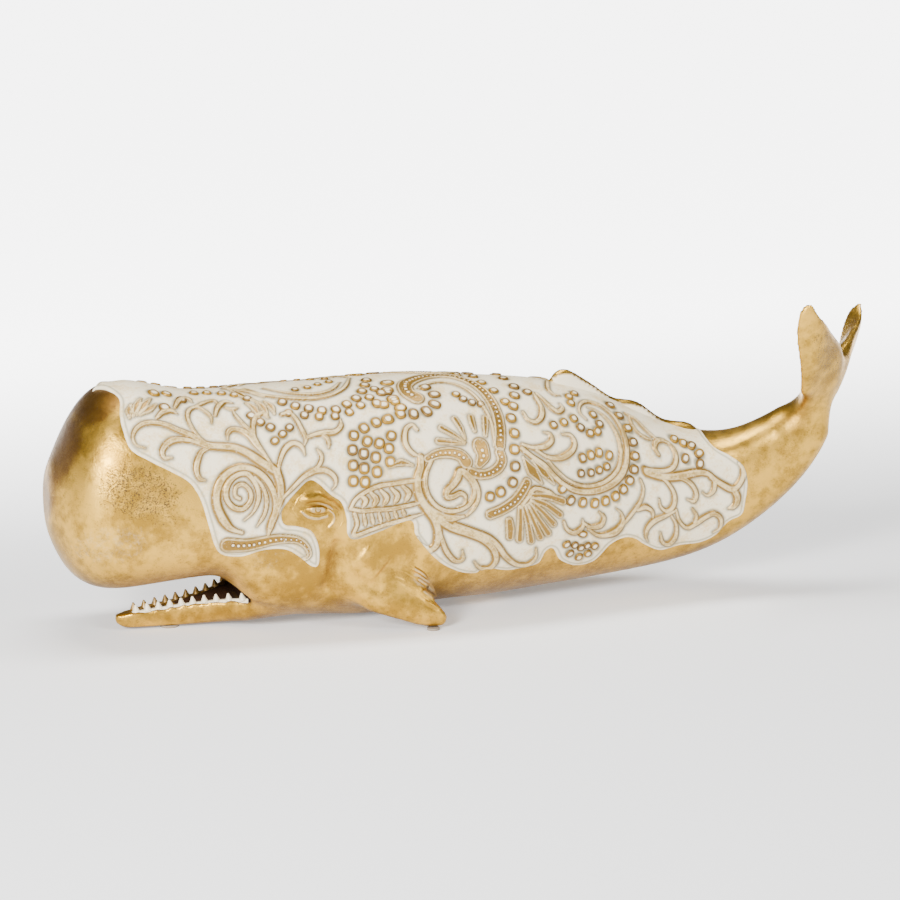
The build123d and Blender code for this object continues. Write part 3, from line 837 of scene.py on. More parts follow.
def grid_mesh(
    name: str, side: Side, places: np.ndarray, shading: np.ndarray, keep: np.ndarray,
    masks: dict[str, np.ndarray],
) -> bpy.types.Object:
    """Makes a mesh of part of a grid.

    Args:
        name: The object's name.
        side: The side of the whale, which turns the faces.
        places: The grid's places in millimetres.
        shading: The normals to shade with.
        keep: Which points of the grid are kept.
        masks: Paint masks of the grid.

    Returns:
        The new object.
    """
    faces = cell_faces(keep)
    if side is Side.LEFT:
        faces = faces[:, ::-1]
    used, faces = np.unique(faces, return_inverse=True)
    piece = make_mesh(
        name, places.reshape(-1, 3)[used], faces.reshape(-1, 4).tolist(),
        shading.reshape(-1, 3)[used],
    )
    for mask, values in masks.items():
        set_attribute(piece, mask, values.reshape(-1)[used])
    return piece


def attach(piece: bpy.types.Object, node: str, material: bpy.types.Material) -> None:
    """Paints a piece and lets it stand for a CAD node.

    Args:
        piece: The new piece.
        node: The node that it replaces.
        material: Its material.
    """
    if not piece.data.materials:
        piece.data.materials.append(material)
    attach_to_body(piece, "root")
    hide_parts(node)
    LOG.info("%s stands for %s: %d faces", piece.name, node, len(piece.data.polygons))


@dataclass
class Shell:
    """A mesh of quads as arrays, in millimetres."""

    points: np.ndarray
    faces: np.ndarray

    def edges(self) -> np.ndarray:
        """Lists every edge once.

        Returns:
            Rows of two vertex numbers.
        """
        pairs = [self.faces[:, [k, (k + 1) % 4]] for k in range(4)]
        return np.unique(np.sort(np.concatenate(pairs), axis=1), axis=0)

    def normals(self) -> np.ndarray:
        """Averages the normals of the faces round each vertex, by area.

        Returns:
            A normal for each vertex.
        """
        corners = self.points[self.faces]
        across = np.cross(corners[:, 2] - corners[:, 0], corners[:, 3] - corners[:, 1])
        total = np.zeros_like(self.points)
        for k, axis in np.ndindex(4, 3):
            total[:, axis] += np.bincount(self.faces[:, k], across[:, axis], len(self.points))
        length = np.linalg.norm(total, axis=1, keepdims=True)
        return total / np.maximum(length, 1e-12)

    def longest_part(self) -> "Shell":
        """Keeps the connected part that is the longest along X.

        Returns:
            That part, without the wall of the hollow.
        """
        edges = self.edges()
        label = np.arange(len(self.points))
        while True:
            least = np.minimum(label[edges[:, 0]], label[edges[:, 1]])
            following = label.copy()
            np.minimum.at(following, edges[:, 0], least)
            np.minimum.at(following, edges[:, 1], least)
            following = following[following]
            if np.array_equal(following, label):
                break
            label = following
        spans = {part: np.ptp(self.points[label == part][:, 0]) for part in np.unique(label)}
        keep = label == max(spans, key=spans.get)
        number = np.cumsum(keep) - 1
        return Shell(self.points[keep], number[self.faces[keep[self.faces[:, 0]]]])


class Smoother:
    """Averages values over the edges of a mesh."""

    def __init__(self, shell: Shell) -> None:
        """Lists each vertex's neighbours."""
        edges = shell.edges()
        self.start = np.concatenate([edges[:, 0], edges[:, 1]])
        self.end = np.concatenate([edges[:, 1], edges[:, 0]])
        self.count = np.bincount(self.start, minlength=len(shell.points)).astype(float)

    def mean(self, values: np.ndarray) -> np.ndarray:
        """Takes the mean of each vertex's neighbours.

        Args:
            values: Rows of values, one for each vertex.

        Returns:
            The means, in the same order.
        """
        totals = [np.bincount(self.start, column[self.end], len(values)) for column in values.T]
        return np.stack(totals, axis=1) / np.maximum(self.count, 1.0)[:, None]

    def fillet(self, points: np.ndarray, weight: np.ndarray, rounds: int) -> None:
        """Rounds off a crease in place.

        Args:
            points: Vertex places.
            weight: How freely each vertex moves, from 0 to 1.
            rounds: Number of steps.
        """
        active = np.nonzero(weight > 0.001)[0]
        number = np.full(len(points), -1)
        number[active] = np.arange(len(active))
        held = number[self.start] >= 0
        start, end = number[self.start[held]], self.end[held]
        count = np.bincount(start, minlength=len(active))[:, None]
        pace = 0.5 * weight[active, None]
        for _ in range(rounds):
            totals = [np.bincount(start, column[end], len(active)) for column in points.T]
            points[active] += pace * (np.stack(totals, axis=1) / count - points[active])

    def taubin(self, points: np.ndarray, rounds: int) -> np.ndarray:
        """Smooths without shrinking.

        Args:
            points: Vertex places.
            rounds: Number of pairs of steps, one inwards and one outwards.

        Returns:
            The smoothed places.
        """
        for _ in range(rounds):
            for pace in (0.5, -0.52):
                points = points + pace * (self.mean(points) - points)
        return points


def boundary_loops(faces: np.ndarray) -> list[list[int]]:
    """Follows the open edges of a mesh.

    Args:
        faces: Vertex numbers of each face.

    Returns:
        Closed rings of vertex numbers, turned to cap the mesh.
    """
    sides = {}
    for face in faces.tolist():
        sides |= dict.fromkeys(zip(face, face[1:] + face[:1]))
    following: dict[int, list[int]] = {}
    for start, end in sides:
        if (end, start) not in sides:
            following.setdefault(end, []).append(start)
    loops = []
    while following:
        loop = [next(iter(following))]
        while True:
            options = following[loop[-1]]
            step = options.pop()
            if not options:
                del following[loop[-1]]
            if step == loop[0]:
                break
            loop.append(step)
        loops.append(loop)
    return loops


def box_of(name: str) -> tuple[np.ndarray, np.ndarray]:
    """Lower and upper corner of a CAD node's box, in millimetres."""
    low, high = (np.array(corner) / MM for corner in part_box(name))
    return low, high


def nearest_bond(middle: np.ndarray) -> Bond:
    """Finds the bond whose piece lies nearest to a point.

    Args:
        middle: The point.

    Returns:
        The bond.
    """
    away = {}
    for name in BONDS:
        low, high = box_of(name)
        away[name] = np.linalg.norm(np.maximum(np.maximum(low - middle, middle - high), 0.0))
    return BONDS[min(away, key=away.get)]


@dataclass
class CastSkin:
    """The gold skin: one shell round the cast pieces, blended where they meet, then cut apart."""

    voxel: float = 1.05
    smooth_rounds: int = 14
    polish_rounds: int = 3
    border_rounds: int = 6
    bond_sink: float = 1.2
    least_bond: int = 12
    # How dark the downward faces are painted, as painted shade
    underside_shade: float = 0.7
    mouth_middle: Triple = (-68.0, 0.0, 17.5)
    mouth_radii: Triple = (27.0, 26.5, 9.6)
    shell: Shell = field(init=False)
    owner: np.ndarray = field(init=False)
    normals: np.ndarray = field(init=False)
    masks: dict[str, np.ndarray] = field(init=False)

    def wrap(self, nodes: dict[str, bpy.types.Object]) -> None:
        """Wraps copies of the cast pieces in one closed voxel skin, their hollow left out.

        Args:
            nodes: The CAD nodes.
        """
        points: list[np.ndarray] = []
        triangles: list[np.ndarray] = []
        count = 0
        for name in (*SKIN_PIECES, "pour_hole_plug"):
            place, faces = node_arrays(nodes[name])
            points.append(place)
            triangles.append(faces + count)
            count += len(place)
        mesh = bpy.data.meshes.new("skin_source")
        mesh.from_pydata(np.concatenate(points).tolist(), [], np.concatenate(triangles).tolist())
        source = link("skin_source", mesh)
        remesh = source.modifiers.new("voxels", "REMESH")
        remesh.mode = "VOXEL"
        remesh.voxel_size = self.voxel
        remesh.adaptivity = 0.0
        graph = bpy.context.evaluated_depsgraph_get()
        solid = bpy.data.meshes.new_from_object(source.evaluated_get(graph))
        place = np.empty(len(solid.vertices) * 3)
        solid.vertices.foreach_get("co", place)
        faces = np.array([list(polygon.vertices) for polygon in solid.polygons], dtype=np.int64)
        bpy.data.objects.remove(source)
        bpy.data.meshes.remove(mesh)
        bpy.data.meshes.remove(solid)
        self.shell = Shell(place.reshape(-1, 3), faces).longest_part()

    def blend(self, nodes: dict[str, bpy.types.Object]) -> None:
        """Smooths the skin, rounds its creases off and gives each vertex its cast piece.

        Args:
            nodes: The CAD nodes.
        """
        shell = self.shell
        smoother = Smoother(shell)
        shell.points = smoother.taubin(shell.points, self.smooth_rounds)
        reach = np.full((len(SKIN_PIECES), len(shell.points)), 1e9)
        for row, name in enumerate(SKIN_PIECES):
            tree = bvh_of(*node_arrays(nodes[name]))
            low, high = box_of(name)
            margin = BONDS[name].reach if name in BONDS else 1.0
            near = np.all((shell.points > low - margin) & (shell.points < high + margin), axis=1)
            for index in np.nonzero(near)[0]:
                reach[row, index] = tree.find_nearest(Vector(shell.points[index]))[3]
        for row, bond in enumerate(BONDS.values(), start=1):
            crease = smoothstep(bond.reach, bond.reach / 3, np.maximum(reach[row], reach[0]))
            smoother.fillet(shell.points, crease, bond.rounds)
        shell.points = smoother.taubin(shell.points, self.polish_rounds)
        share = (reach.argmin(axis=0)[:, None] == np.arange(len(SKIN_PIECES))).astype(float)
        for _ in range(self.border_rounds):
            share = 0.5 * share + 0.5 * smoother.mean(share)
        self.owner = share.argmax(axis=1)
        self.normals = shell.normals()

    def press(self, view: View) -> None:
        """Presses the grooves and ridges of the skin in, on both sides.

        Args:
            view: The camera whose pixels the marks are drawn in.
        """
        points = self.shell.points
        pixels = view.near_pixels(points)
        front = self.normals.copy()
        front[:, 1] *= np.where(points[:, 1] > 0, -1.0, 1.0)
        facing = smoothstep(0.05, 0.45, front @ -view.forward)
        for mark in SKIN_MARKS:
            path = smooth_path(mark.pixels(), 1.0)
            low, high = path.min(axis=0) - 3 * mark.width, path.max(axis=0) + 3 * mark.width
            near = np.all((pixels > low) & (pixels < high), axis=1)
            near &= points[:, 0] < FIN_START
            distance, share = segment_distance(pixels[near], path)
            ends = smoothstep(0.0, 0.15, share) * smoothstep(1.0, 0.9, share)
            depth = mark.height * np.exp(-((2 * distance / mark.width) ** 2)) * (0.3 + 0.7 * ends)
            points[near] += self.normals[near] * (depth * facing[near])[:, None]
        self.normals = self.shell.normals()

    def tint(self, view: View) -> None:
        """Lays the masks of patina, pits, pale wear and painted shade on the skin; faces turned down get
        painted shade.

        Args:
            view: The camera whose pixels the ovals are placed in.
        """
        pixels = view.near_pixels(self.shell.points)
        self.masks = {kind: np.zeros(len(pixels)) for kind in ("brown", "speck", "pale")}
        for tint in TINTS:
            offset = pixels - tint.place
            slant = math.radians(tint.slant)
            along = offset[:, 0] * math.cos(slant) + offset[:, 1] * math.sin(slant)
            across = offset[:, 1] * math.cos(slant) - offset[:, 0] * math.sin(slant)
            reach = np.hypot(along / tint.size[0], across / tint.size[1])
            value = tint.strength * smoothstep(1.35, 0.45, reach)
            self.masks[tint.kind] = np.maximum(self.masks[tint.kind], value)
        # Painted shade: faces turned down are darkened brown
        below = self.underside_shade * smoothstep(-0.25, -0.95, self.normals[:, 2])
        self.masks["brown"] = np.maximum(self.masks["brown"], below)

    def mask_fin(self) -> None:
        """Masks the ivory flanks of the fin, below its gold crest."""
        x, y, z = self.shell.points.T
        on_back = (x > FIN_START) & (x < FIN_END) & (z > 60)
        column = ((x - FIN_START) / 2).astype(int)
        crest = np.full(int((FIN_END - FIN_START) / 2) + 2, -1e9)
        middle = np.zeros(len(crest))
        for index in np.nonzero(on_back)[0]:
            if z[index] > crest[column[index]]:
                crest[column[index]] = z[index]
                middle[column[index]] = y[index]
        spots = column[on_back]
        drop = crest[spots] - z[on_back]
        beside = np.abs(y[on_back] - middle[spots])
        front = smoothstep(FIN_START, FIN_START + 4, x[on_back])
        rear = smoothstep(FIN_END - 30, FIN_END - 50, x[on_back])
        flank = smoothstep(1.4, 2.6, drop) * smoothstep(14.0, 10.0, beside)
        self.masks["ivory"] = np.zeros(len(x))
        self.masks["ivory"][on_back] = flank * front * rear

    def mask_mouth_shade(self) -> None:
        """Masks the inside of the mouth and the jaw's trough, to be darkened nearly black as painted
        shade.
        """
        points = self.shell.points
        offset = points - self.mouth_middle
        reach = np.linalg.norm(offset / self.mouth_radii, axis=1)
        inward = np.einsum("ij,ij->i", self.normals, offset)
        mouth = smoothstep(1.12, 1.0, reach) * smoothstep(0.0, -4.0, inward)
        jaw = self.owner == SKIN_PIECES.index("lower_jaw")
        floor = smoothstep(0.55, 0.8, self.normals[:, 2])
        trough = jaw * floor * smoothstep(-118.0, -98.0, points[:, 0]) * 0.6
        self.masks["mouth"] = np.maximum(mouth, trough)

    def cut(self, name: str) -> bpy.types.Object:
        """Cuts one cast piece out of the skin and closes its bond faces.

        Args:
            name: The piece's CAD node.

        Returns:
            The closed piece, shaded with the whole skin's normals.
        """
        row = SKIN_PIECES.index(name)
        inside = self.owner[self.shell.faces].max(axis=1) == row
        used, faces = np.unique(self.shell.faces[inside], return_inverse=True)
        faces = faces.reshape(-1, 4)
        points = self.shell.points[used]
        normals = self.normals[used]
        polygons = faces.tolist()
        caps: list[np.ndarray] = []
        for loop in boundary_loops(faces):
            middle = points[loop].mean(axis=0)
            bond = BONDS.get(name) or nearest_bond(middle)
            if len(loop) >= self.least_bond:
                middle = middle + bond.shift
            first = len(points) + len(caps)
            last = first + len(loop)
            caps += [*(points[loop] - normals[loop] * self.bond_sink), middle]
            inner = list(range(first, last))
            steps = zip(loop, loop[1:] + loop[:1], inner[1:] + inner[:1], inner)
            polygons += [list(corners) for corners in steps]
            polygons += [[start, end, last] for start, end in zip(inner, inner[1:] + inner[:1])]
        if caps:
            points = np.concatenate([points, np.array(caps)])
            normals = np.concatenate([normals, np.tile((0.0, 0.0, 1.0), (len(caps), 1))])
        piece = make_mesh(f"{name}_skin", points, polygons, normals)
        for mask, values in self.masks.items():
            set_attribute(piece, mask, np.concatenate([values[used], np.zeros(len(caps))]))
        return piece

    def build(
        self, nodes: dict[str, bpy.types.Object], view: View, gold: bpy.types.Material
    ) -> BVHTree:
        """Builds and dresses every cast piece.

        Args:
            nodes: The CAD nodes.
            view: The photograph's camera.
            gold: The gold leaf.

        Returns:
            Search tree of the whole skin.
        """
        self.wrap(nodes)
        self.blend(nodes)
        self.press(view)
        self.tint(view)
        self.mask_fin()
        self.mask_mouth_shade()
        for name in SKIN_PIECES:
            attach(self.cut(name), name, gold)
        return bvh_of(self.shell.points, self.shell.faces)


@dataclass
class MantleGrid:
    """Surface of one side of the back, measured along X and round the girth from the crest."""

    skin: BVHTree
    side: Side
    widest_angle: float = 150.0
    angle_count: int = 76
    fin_angle: float = 15.0
    along: np.ndarray = field(init=False)
    angles: np.ndarray = field(init=False)
    middle: np.ndarray = field(init=False)
    points: np.ndarray = field(init=False)
    girth: np.ndarray = field(init=False)

    def __post_init__(self) -> None:
        """Measures the surface."""
        self.along = np.arange(MANTLE_START, MANTLE_END + COARSE_STEP, COARSE_STEP)
        self.angles = np.radians(np.linspace(0.0, self.widest_angle, self.angle_count))
        self.middle = blur(np.array([self.section_middle(x) for x in self.along]), 3)
        sections = zip(self.along, self.middle)
        radius = np.array([[self.cast(x, middle, a) for a in self.angles] for x, middle in sections])
        radius = blur(blur(self.without_fin(radius), 2).T, 1).T
        across = self.middle[:, :1] + self.side.value * radius * np.sin(self.angles)
        height = self.middle[:, 1:] + radius * np.cos(self.angles)
        along = np.repeat(self.along[:, None], len(self.angles), axis=1)
        self.points = np.stack([along, across, height], axis=-1)
        steps = np.linalg.norm(np.diff(self.points[:, :, 1:], axis=1), axis=2)
        self.girth = np.concatenate([np.zeros((len(self.along), 1)), steps.cumsum(axis=1)], axis=1)

    def section_middle(self, x: float) -> tuple[float, float]:
        """Finds the middle of the body's section.

        Args:
            x: Where the section is.

        Returns:
            Its middle, as y and z.
        """
        z = 66.0
        y = 0.0
        for _ in range(2):
            sides = [
                self.skin.ray_cast(Vector((x, side * 200, z)), Vector((0, -side, 0)))[0]
                for side in (-1, 1)
            ]
            y = sum(hit.y for hit in sides) / 2
            top = self.skin.ray_cast(Vector((x, y + 9, 300)), Vector((0, 0, -1)))[0].z
            low = self.skin.ray_cast(Vector((x, y, -50)), Vector((0, 0, 1)))[0].z
            z = (top + max(low, 5.0)) / 2
        return y, z

    def cast(self, x: float, middle: np.ndarray, angle: float) -> float:
        """Measures the distance from a section's middle to the skin.

        Args:
            x: Where the section is.
            middle: Its middle, as y and z.
            angle: The angle from straight up.

        Returns:
            The distance.
        """
        direction = Vector((0, self.side.value * math.sin(angle), math.cos(angle)))
        far = Vector((x, *middle)) + direction * 200
        hit = self.skin.ray_cast(far, -direction)[0]
        return 200 - (far - hit).length if hit else 30.0

    def without_fin(self, radius: np.ndarray) -> np.ndarray:
        """Replaces the fin and its knuckles by the back that they stand on.

        Args:
            radius: Distances to the skin, in a row for each section.

        Returns:
            Distances to the back.
        """
        fin_angle = math.radians(self.fin_angle)
        beside = (self.angles > fin_angle) & (self.angles < 3 * fin_angle)
        under = self.angles <= fin_angle
        basis = np.stack([np.ones(beside.sum()), self.angles[beside] ** 2], axis=1)
        whole = np.stack([np.ones(under.sum()), self.angles[under] ** 2], axis=1)
        radius = radius.copy()
        for column in np.nonzero((self.along > FIN_START) & (self.along < FIN_END))[0]:
            fit = np.linalg.lstsq(basis, radius[column, beside], rcond=None)[0]
            radius[column, under] = whole @ fit
        return radius

    def tree(self) -> BVHTree:
        """Search tree of the coarse surface."""
        quads = cell_faces(np.ones(self.points.shape[:2], dtype=bool))
        return bvh_of(self.points.reshape(-1, 3), quads)

    def locate(self, hit: Vector) -> tuple[float, float]:
        """Finds a point's place on the chart.

        Args:
            hit: A point on the surface.

        Returns:
            Its distance along X and round the girth.
        """
        x = float(np.clip(hit.x, self.along[0], self.along[-1] - 1e-6))
        row, share = divmod((x - self.along[0]) / COARSE_STEP, 1.0)
        row = int(row)
        middle = self.middle[row] * (1 - share) + self.middle[row + 1] * share
        girth = self.girth[row] * (1 - share) + self.girth[row + 1] * share
        angle = math.atan2(self.side.value * (hit.y - middle[0]), hit.z - middle[1])
        return x, float(np.interp(angle, self.angles, girth))

    def fine(self) -> tuple[np.ndarray, np.ndarray]:
        """Makes the fine grid of the surface.

        Returns:
            Places, and the (x, girth) of each, on a regular grid of both.
        """
        along = np.arange(MANTLE_START, MANTLE_END, MANTLE_STEP)
        girth = np.arange(0.0, MANTLE_GIRTH, MANTLE_STEP)
        coarse = np.stack(
            [
                np.stack([np.interp(girth, line, row[:, axis]) for axis in range(3)], axis=1)
                for line, row in zip(self.girth, self.points)
            ]
        )
        flat = cubic_rows(self.along, coarse.reshape(len(self.along), -1), along)
        chart = np.stack(np.meshgrid(along, girth, indexing="ij"), axis=-1)
        return flat.reshape(len(along), len(girth), 3), chart


class Surface:
    """Places, normals and directions on one side's fine grid, by chart place."""

    def __init__(self, grid: MantleGrid) -> None:
        """Keeps the fine grid's places and normals."""
        self.places, _ = grid.fine()
        self.normals = surface_normals(self.places)

    def frame(self, spot: np.ndarray, run: np.ndarray) -> tuple[np.ndarray, Matrix]:
        """Finds how a small shape stands on the surface.

        Args:
            spot: Where it stands on the chart.
            run: Its direction on the chart.

        Returns:
            Its place, and its axes along the run, across it and outwards.
        """
        column = int(round((spot[0] - MANTLE_START) / MANTLE_STEP))
        row = int(round(spot[1] / MANTLE_STEP))
        column = min(max(column, 1), self.places.shape[0] - 2)
        row = min(max(row, 1), self.places.shape[1] - 2)
        along = self.places[column + 1, row] - self.places[column - 1, row]
        round_girth = self.places[column, row + 1] - self.places[column, row - 1]
        outward = self.normals[column, row]
        forward = along * run[0] + round_girth * run[1]
        forward -= outward * (forward @ outward)
        forward /= max(np.linalg.norm(forward), 1e-9)
        axes = np.stack([forward, np.cross(outward, forward), outward], axis=1)
        return self.places[column, row], Matrix(axes.tolist())


class Chart:
    """Turns photo pixels into places on the near side's surface chart."""

    def __init__(self, grid: MantleGrid, view: View) -> None:
        """Keeps the surface and the camera."""
        self.grid = grid
        self.view = view
        self.tree = grid.tree()

    def place(self, pixel: tuple[float, float]) -> tuple[float, float]:
        """Finds what lies under a photo pixel, or under the nearest pixel below it that has any.

        Args:
            pixel: The pixel.

        Returns:
            The distance along X and round the girth.

        Raises:
            ValueError: The surface isn't there.
        """
        x, y = pixel
        for drop in range(40):
            ray = Vector(self.view.ray(x, y + drop))
            hit = self.tree.ray_cast(Vector(self.view.place), ray)[0]
            if hit:
                return self.grid.locate(hit)
        raise ValueError(f"no surface under pixel {pixel}")

    def path(self, pixels: Path | np.ndarray, step: float) -> np.ndarray:
        """Smooth path on the chart through photo pixels."""
        return smooth_path(np.array([self.place(pixel) for pixel in pixels]), step)

    def outline(self) -> np.ndarray:
        """Draws the mantle's edge.

        Returns:
            A closed outline on the chart, its top beyond the crest.
        """
        edge = self.path(MANTLE_OUTLINE_PIXELS, 0.6)
        edge = edge[edge[:, 1] > -1]
        start = [[edge[0, 0] - 2, -9.0], [edge[0, 0] - 2, edge[0, 1] - 1]]
        return np.concatenate([start, edge, [[edge[-1, 0] - 4, -9.0]]])


@dataclass
class Crowd:
    """Points that each carry one copy of a small shape."""

    spots: list[np.ndarray] = field(default_factory=list)
    places: list[np.ndarray] = field(default_factory=list)
    turns: list[Triple] = field(default_factory=list)
    sizes: list[Triple] = field(default_factory=list)

    def add(self, surface: Surface, spot: np.ndarray, run: np.ndarray, rise: float, size: Triple) -> None:
        """Adds one copy.

        Args:
            surface: The surface that it stands on.
            spot: Where it stands on the chart.
            run: Its direction on the chart.
            rise: How far above the surface it stands, in millimetres.
            size: Its half width, half length and height in millimetres.
        """
        place, axes = surface.frame(spot, run)
        self.spots.append(spot)
        self.places.append((place + np.array(axes.col[2]) * rise) * MM)
        self.turns.append(tuple(axes.to_euler()))
        self.sizes.append(tuple(value * MM for value in size))


class Relief:
    """Height in millimetres and paint masks of the carving, on the mantle's fine chart; its shade mask is
    painted shadow at the feet of strokes and studs.
    """

    def __init__(self, shape: tuple[int, int]) -> None:
        """Starts from a flat field."""
        self.along = MANTLE_START + MANTLE_STEP * np.arange(shape[0])
        self.girth = MANTLE_STEP * np.arange(shape[1])
        self.fields = {name: np.zeros(shape) for name in ("height", "gold", "cream", "shade")}

    def window(self, low: np.ndarray, high: np.ndarray) -> tuple[tuple[slice, slice], np.ndarray]:
        """Takes the part of the chart between two corners.

        Args:
            low: The lower corner.
            high: The upper corner.

        Returns:
            Its slices of the fields, and its chart places.
        """
        rows = slice(*np.searchsorted(self.along, (low[0], high[0])))
        columns = slice(*np.searchsorted(self.girth, (low[1], high[1])))
        box = np.stack(np.meshgrid(self.along[rows], self.girth[columns], indexing="ij"), axis=-1)
        return (rows, columns), box

    def lay(self, name: str, part: tuple[slice, slice], values: np.ndarray) -> None:
        """Raises part of a field to values, where it is lower."""
        kept = self.fields[name][part]
        np.maximum(kept, values.reshape(kept.shape), out=kept)

    def carve(self, stroke: Stroke, chart: Chart) -> None:
        """Carves one stroke.

        Args:
            stroke: The stroke.
            chart: Where the photo's pixels lie on the surface.
        """
        pen = stroke.pen
        path = chart.path(stroke.pixels(), 1.2)
        margin = max(pen.start, pen.middle, pen.end) / 2 + 3 * FOOT_WIDTH
        part, box = self.window(path.min(axis=0) - margin, path.max(axis=0) + margin)
        if box.size == 0:
            return
        distance, share = segment_distance(box.reshape(-1, 2), path)
        half = pen.half_width(share)
        away = distance / half
        rise = STROKE_RISE * np.clip(0.55 + 0.3 * half, 0.0, 1.0)
        if pen.form is Form.TENDRIL:
            height = rise * np.sqrt(np.clip(1 - away**2, 0, 1))
            cream = smoothstep(0.68, 0.3, away)
        else:
            floor = 0.5 if pen.form is Form.RIBBON else 0.35
            rim = np.clip(0.45 / half, 0.1, 0.5)
            edge = smoothstep(1.0, 0.86, away)
            sunk = smoothstep(1 - 0.8 * rim, 1 - 2.2 * rim, away)
            height = rise * edge * (1 - floor * sunk)
            cream = edge * (1 - sunk)
        foot = (distance - half) / FOOT_WIDTH
        self.lay("height", part, height)
        self.lay("gold", part, smoothstep(1.25, 0.95, away))
        self.lay("cream", part, cream)
        # Painted shadow on the ground just outside the stroke's foot
        self.lay("shade", part, np.exp(-(foot**2)) * (foot > -0.5))

    def shade(self, crowd: Crowd) -> None:
        """Paints shadow on the ground round every stud, and clears the painted shade from what is raised.

        Args:
            crowd: The studs and beads.
        """
        for spot, (half_width, half_length, _) in zip(crowd.spots, crowd.sizes):
            radius = (half_width + half_length) / 2 / MM
            margin = radius + 3 * FOOT_WIDTH
            part, box = self.window(spot - margin, spot + margin)
            foot = (np.linalg.norm(box - spot, axis=-1) - radius) / FOOT_WIDTH
            self.lay("shade", part, np.exp(-(np.maximum(foot, 0.0) ** 2)))
        self.fields["shade"] *= 1 - smoothstep(0.05, 0.4, self.fields["height"])


@dataclass
class Mantle:
    """The carved mantle, in thin pieces over both sides of the back."""

    sink: float = 0.9
    parts: int = 3
    margin: float = 1.0

    def build_side(
        self, grid: MantleGrid, outline: np.ndarray, relief: Relief, ivory: bpy.types.Material
    ) -> None:
        """Builds and dresses the pieces of one side, from the head to the tail.

        Args:
            grid: The side's surface.
            outline: The mantle's outline on the chart.
            relief: The carving, the same for both sides.
            ivory: The painted ivory.
        """
        places, chart = grid.fine()
        flat = chart.reshape(-1, 2)
        distance, _ = segment_distance(flat, outline)
        inside = inside_polygon(flat, outline)
        depth = np.where(inside, distance, -distance).reshape(chart.shape[:2])
        height = relief.fields["height"]
        rise = -self.sink + (MANTLE_RISE + self.sink) * smoothstep(-0.5, 0.9, depth)
        rise += height * smoothstep(-0.2, 0.6, depth)
        surface = places + surface_normals(places) * rise[:, :, None]
        shading = surface_normals(surface)
        # Painted shade along the mantle's sunk edge, and a dark painted line just inside its pale lip
        wall = smoothstep(0.25, -0.1, depth)
        inner = 0.8 * np.exp(-(((depth - 2.1) / 0.5) ** 2)) * (height < 0.1)
        masks = {
            "gold": relief.fields["gold"],
            "cream": relief.fields["cream"],
            "shade": np.maximum(np.maximum(relief.fields["shade"], inner), wall),
            "lip": smoothstep(1.9, 1.2, depth) * smoothstep(0.0, 0.4, depth),
        }
        label = grid.side.name.lower()
        for number, rows in enumerate(np.array_split(np.arange(len(places) - 1), self.parts)):
            part = slice(rows[0], rows[-1] + 2)
            piece = grid_mesh(
                f"mantle_{label}_{number + 1}", grid.side, surface[part], shading[part],
                depth[part] > -self.margin, {name: mask[part] for name, mask in masks.items()},
            )
            attach(piece, "relief_mantle", ivory)


def even_spots(path: np.ndarray, count: int) -> tuple[np.ndarray, np.ndarray]:
    """Spaces spots evenly on a polyline.

    Args:
        path: The polyline's corners.
        count: Number of spots.

    Returns:
        The spots, and the polyline's direction at each.
    """
    steps = np.linalg.norm(np.diff(path, axis=0), axis=1)
    travelled = np.concatenate([[0.0], steps.cumsum()])
    wanted = np.linspace(0.0, travelled[-1], count)
    behind, spots, ahead = (
        np.stack([np.interp(wanted + shift, travelled, line) for line in path.T], axis=1)
        for shift in (-1, 0, 1)
    )
    run = ahead - behind
    length = np.linalg.norm(run, axis=1, keepdims=True)
    return spots, np.where(length > 1e-6, run / np.maximum(length, 1e-9), (1.0, 0.0))


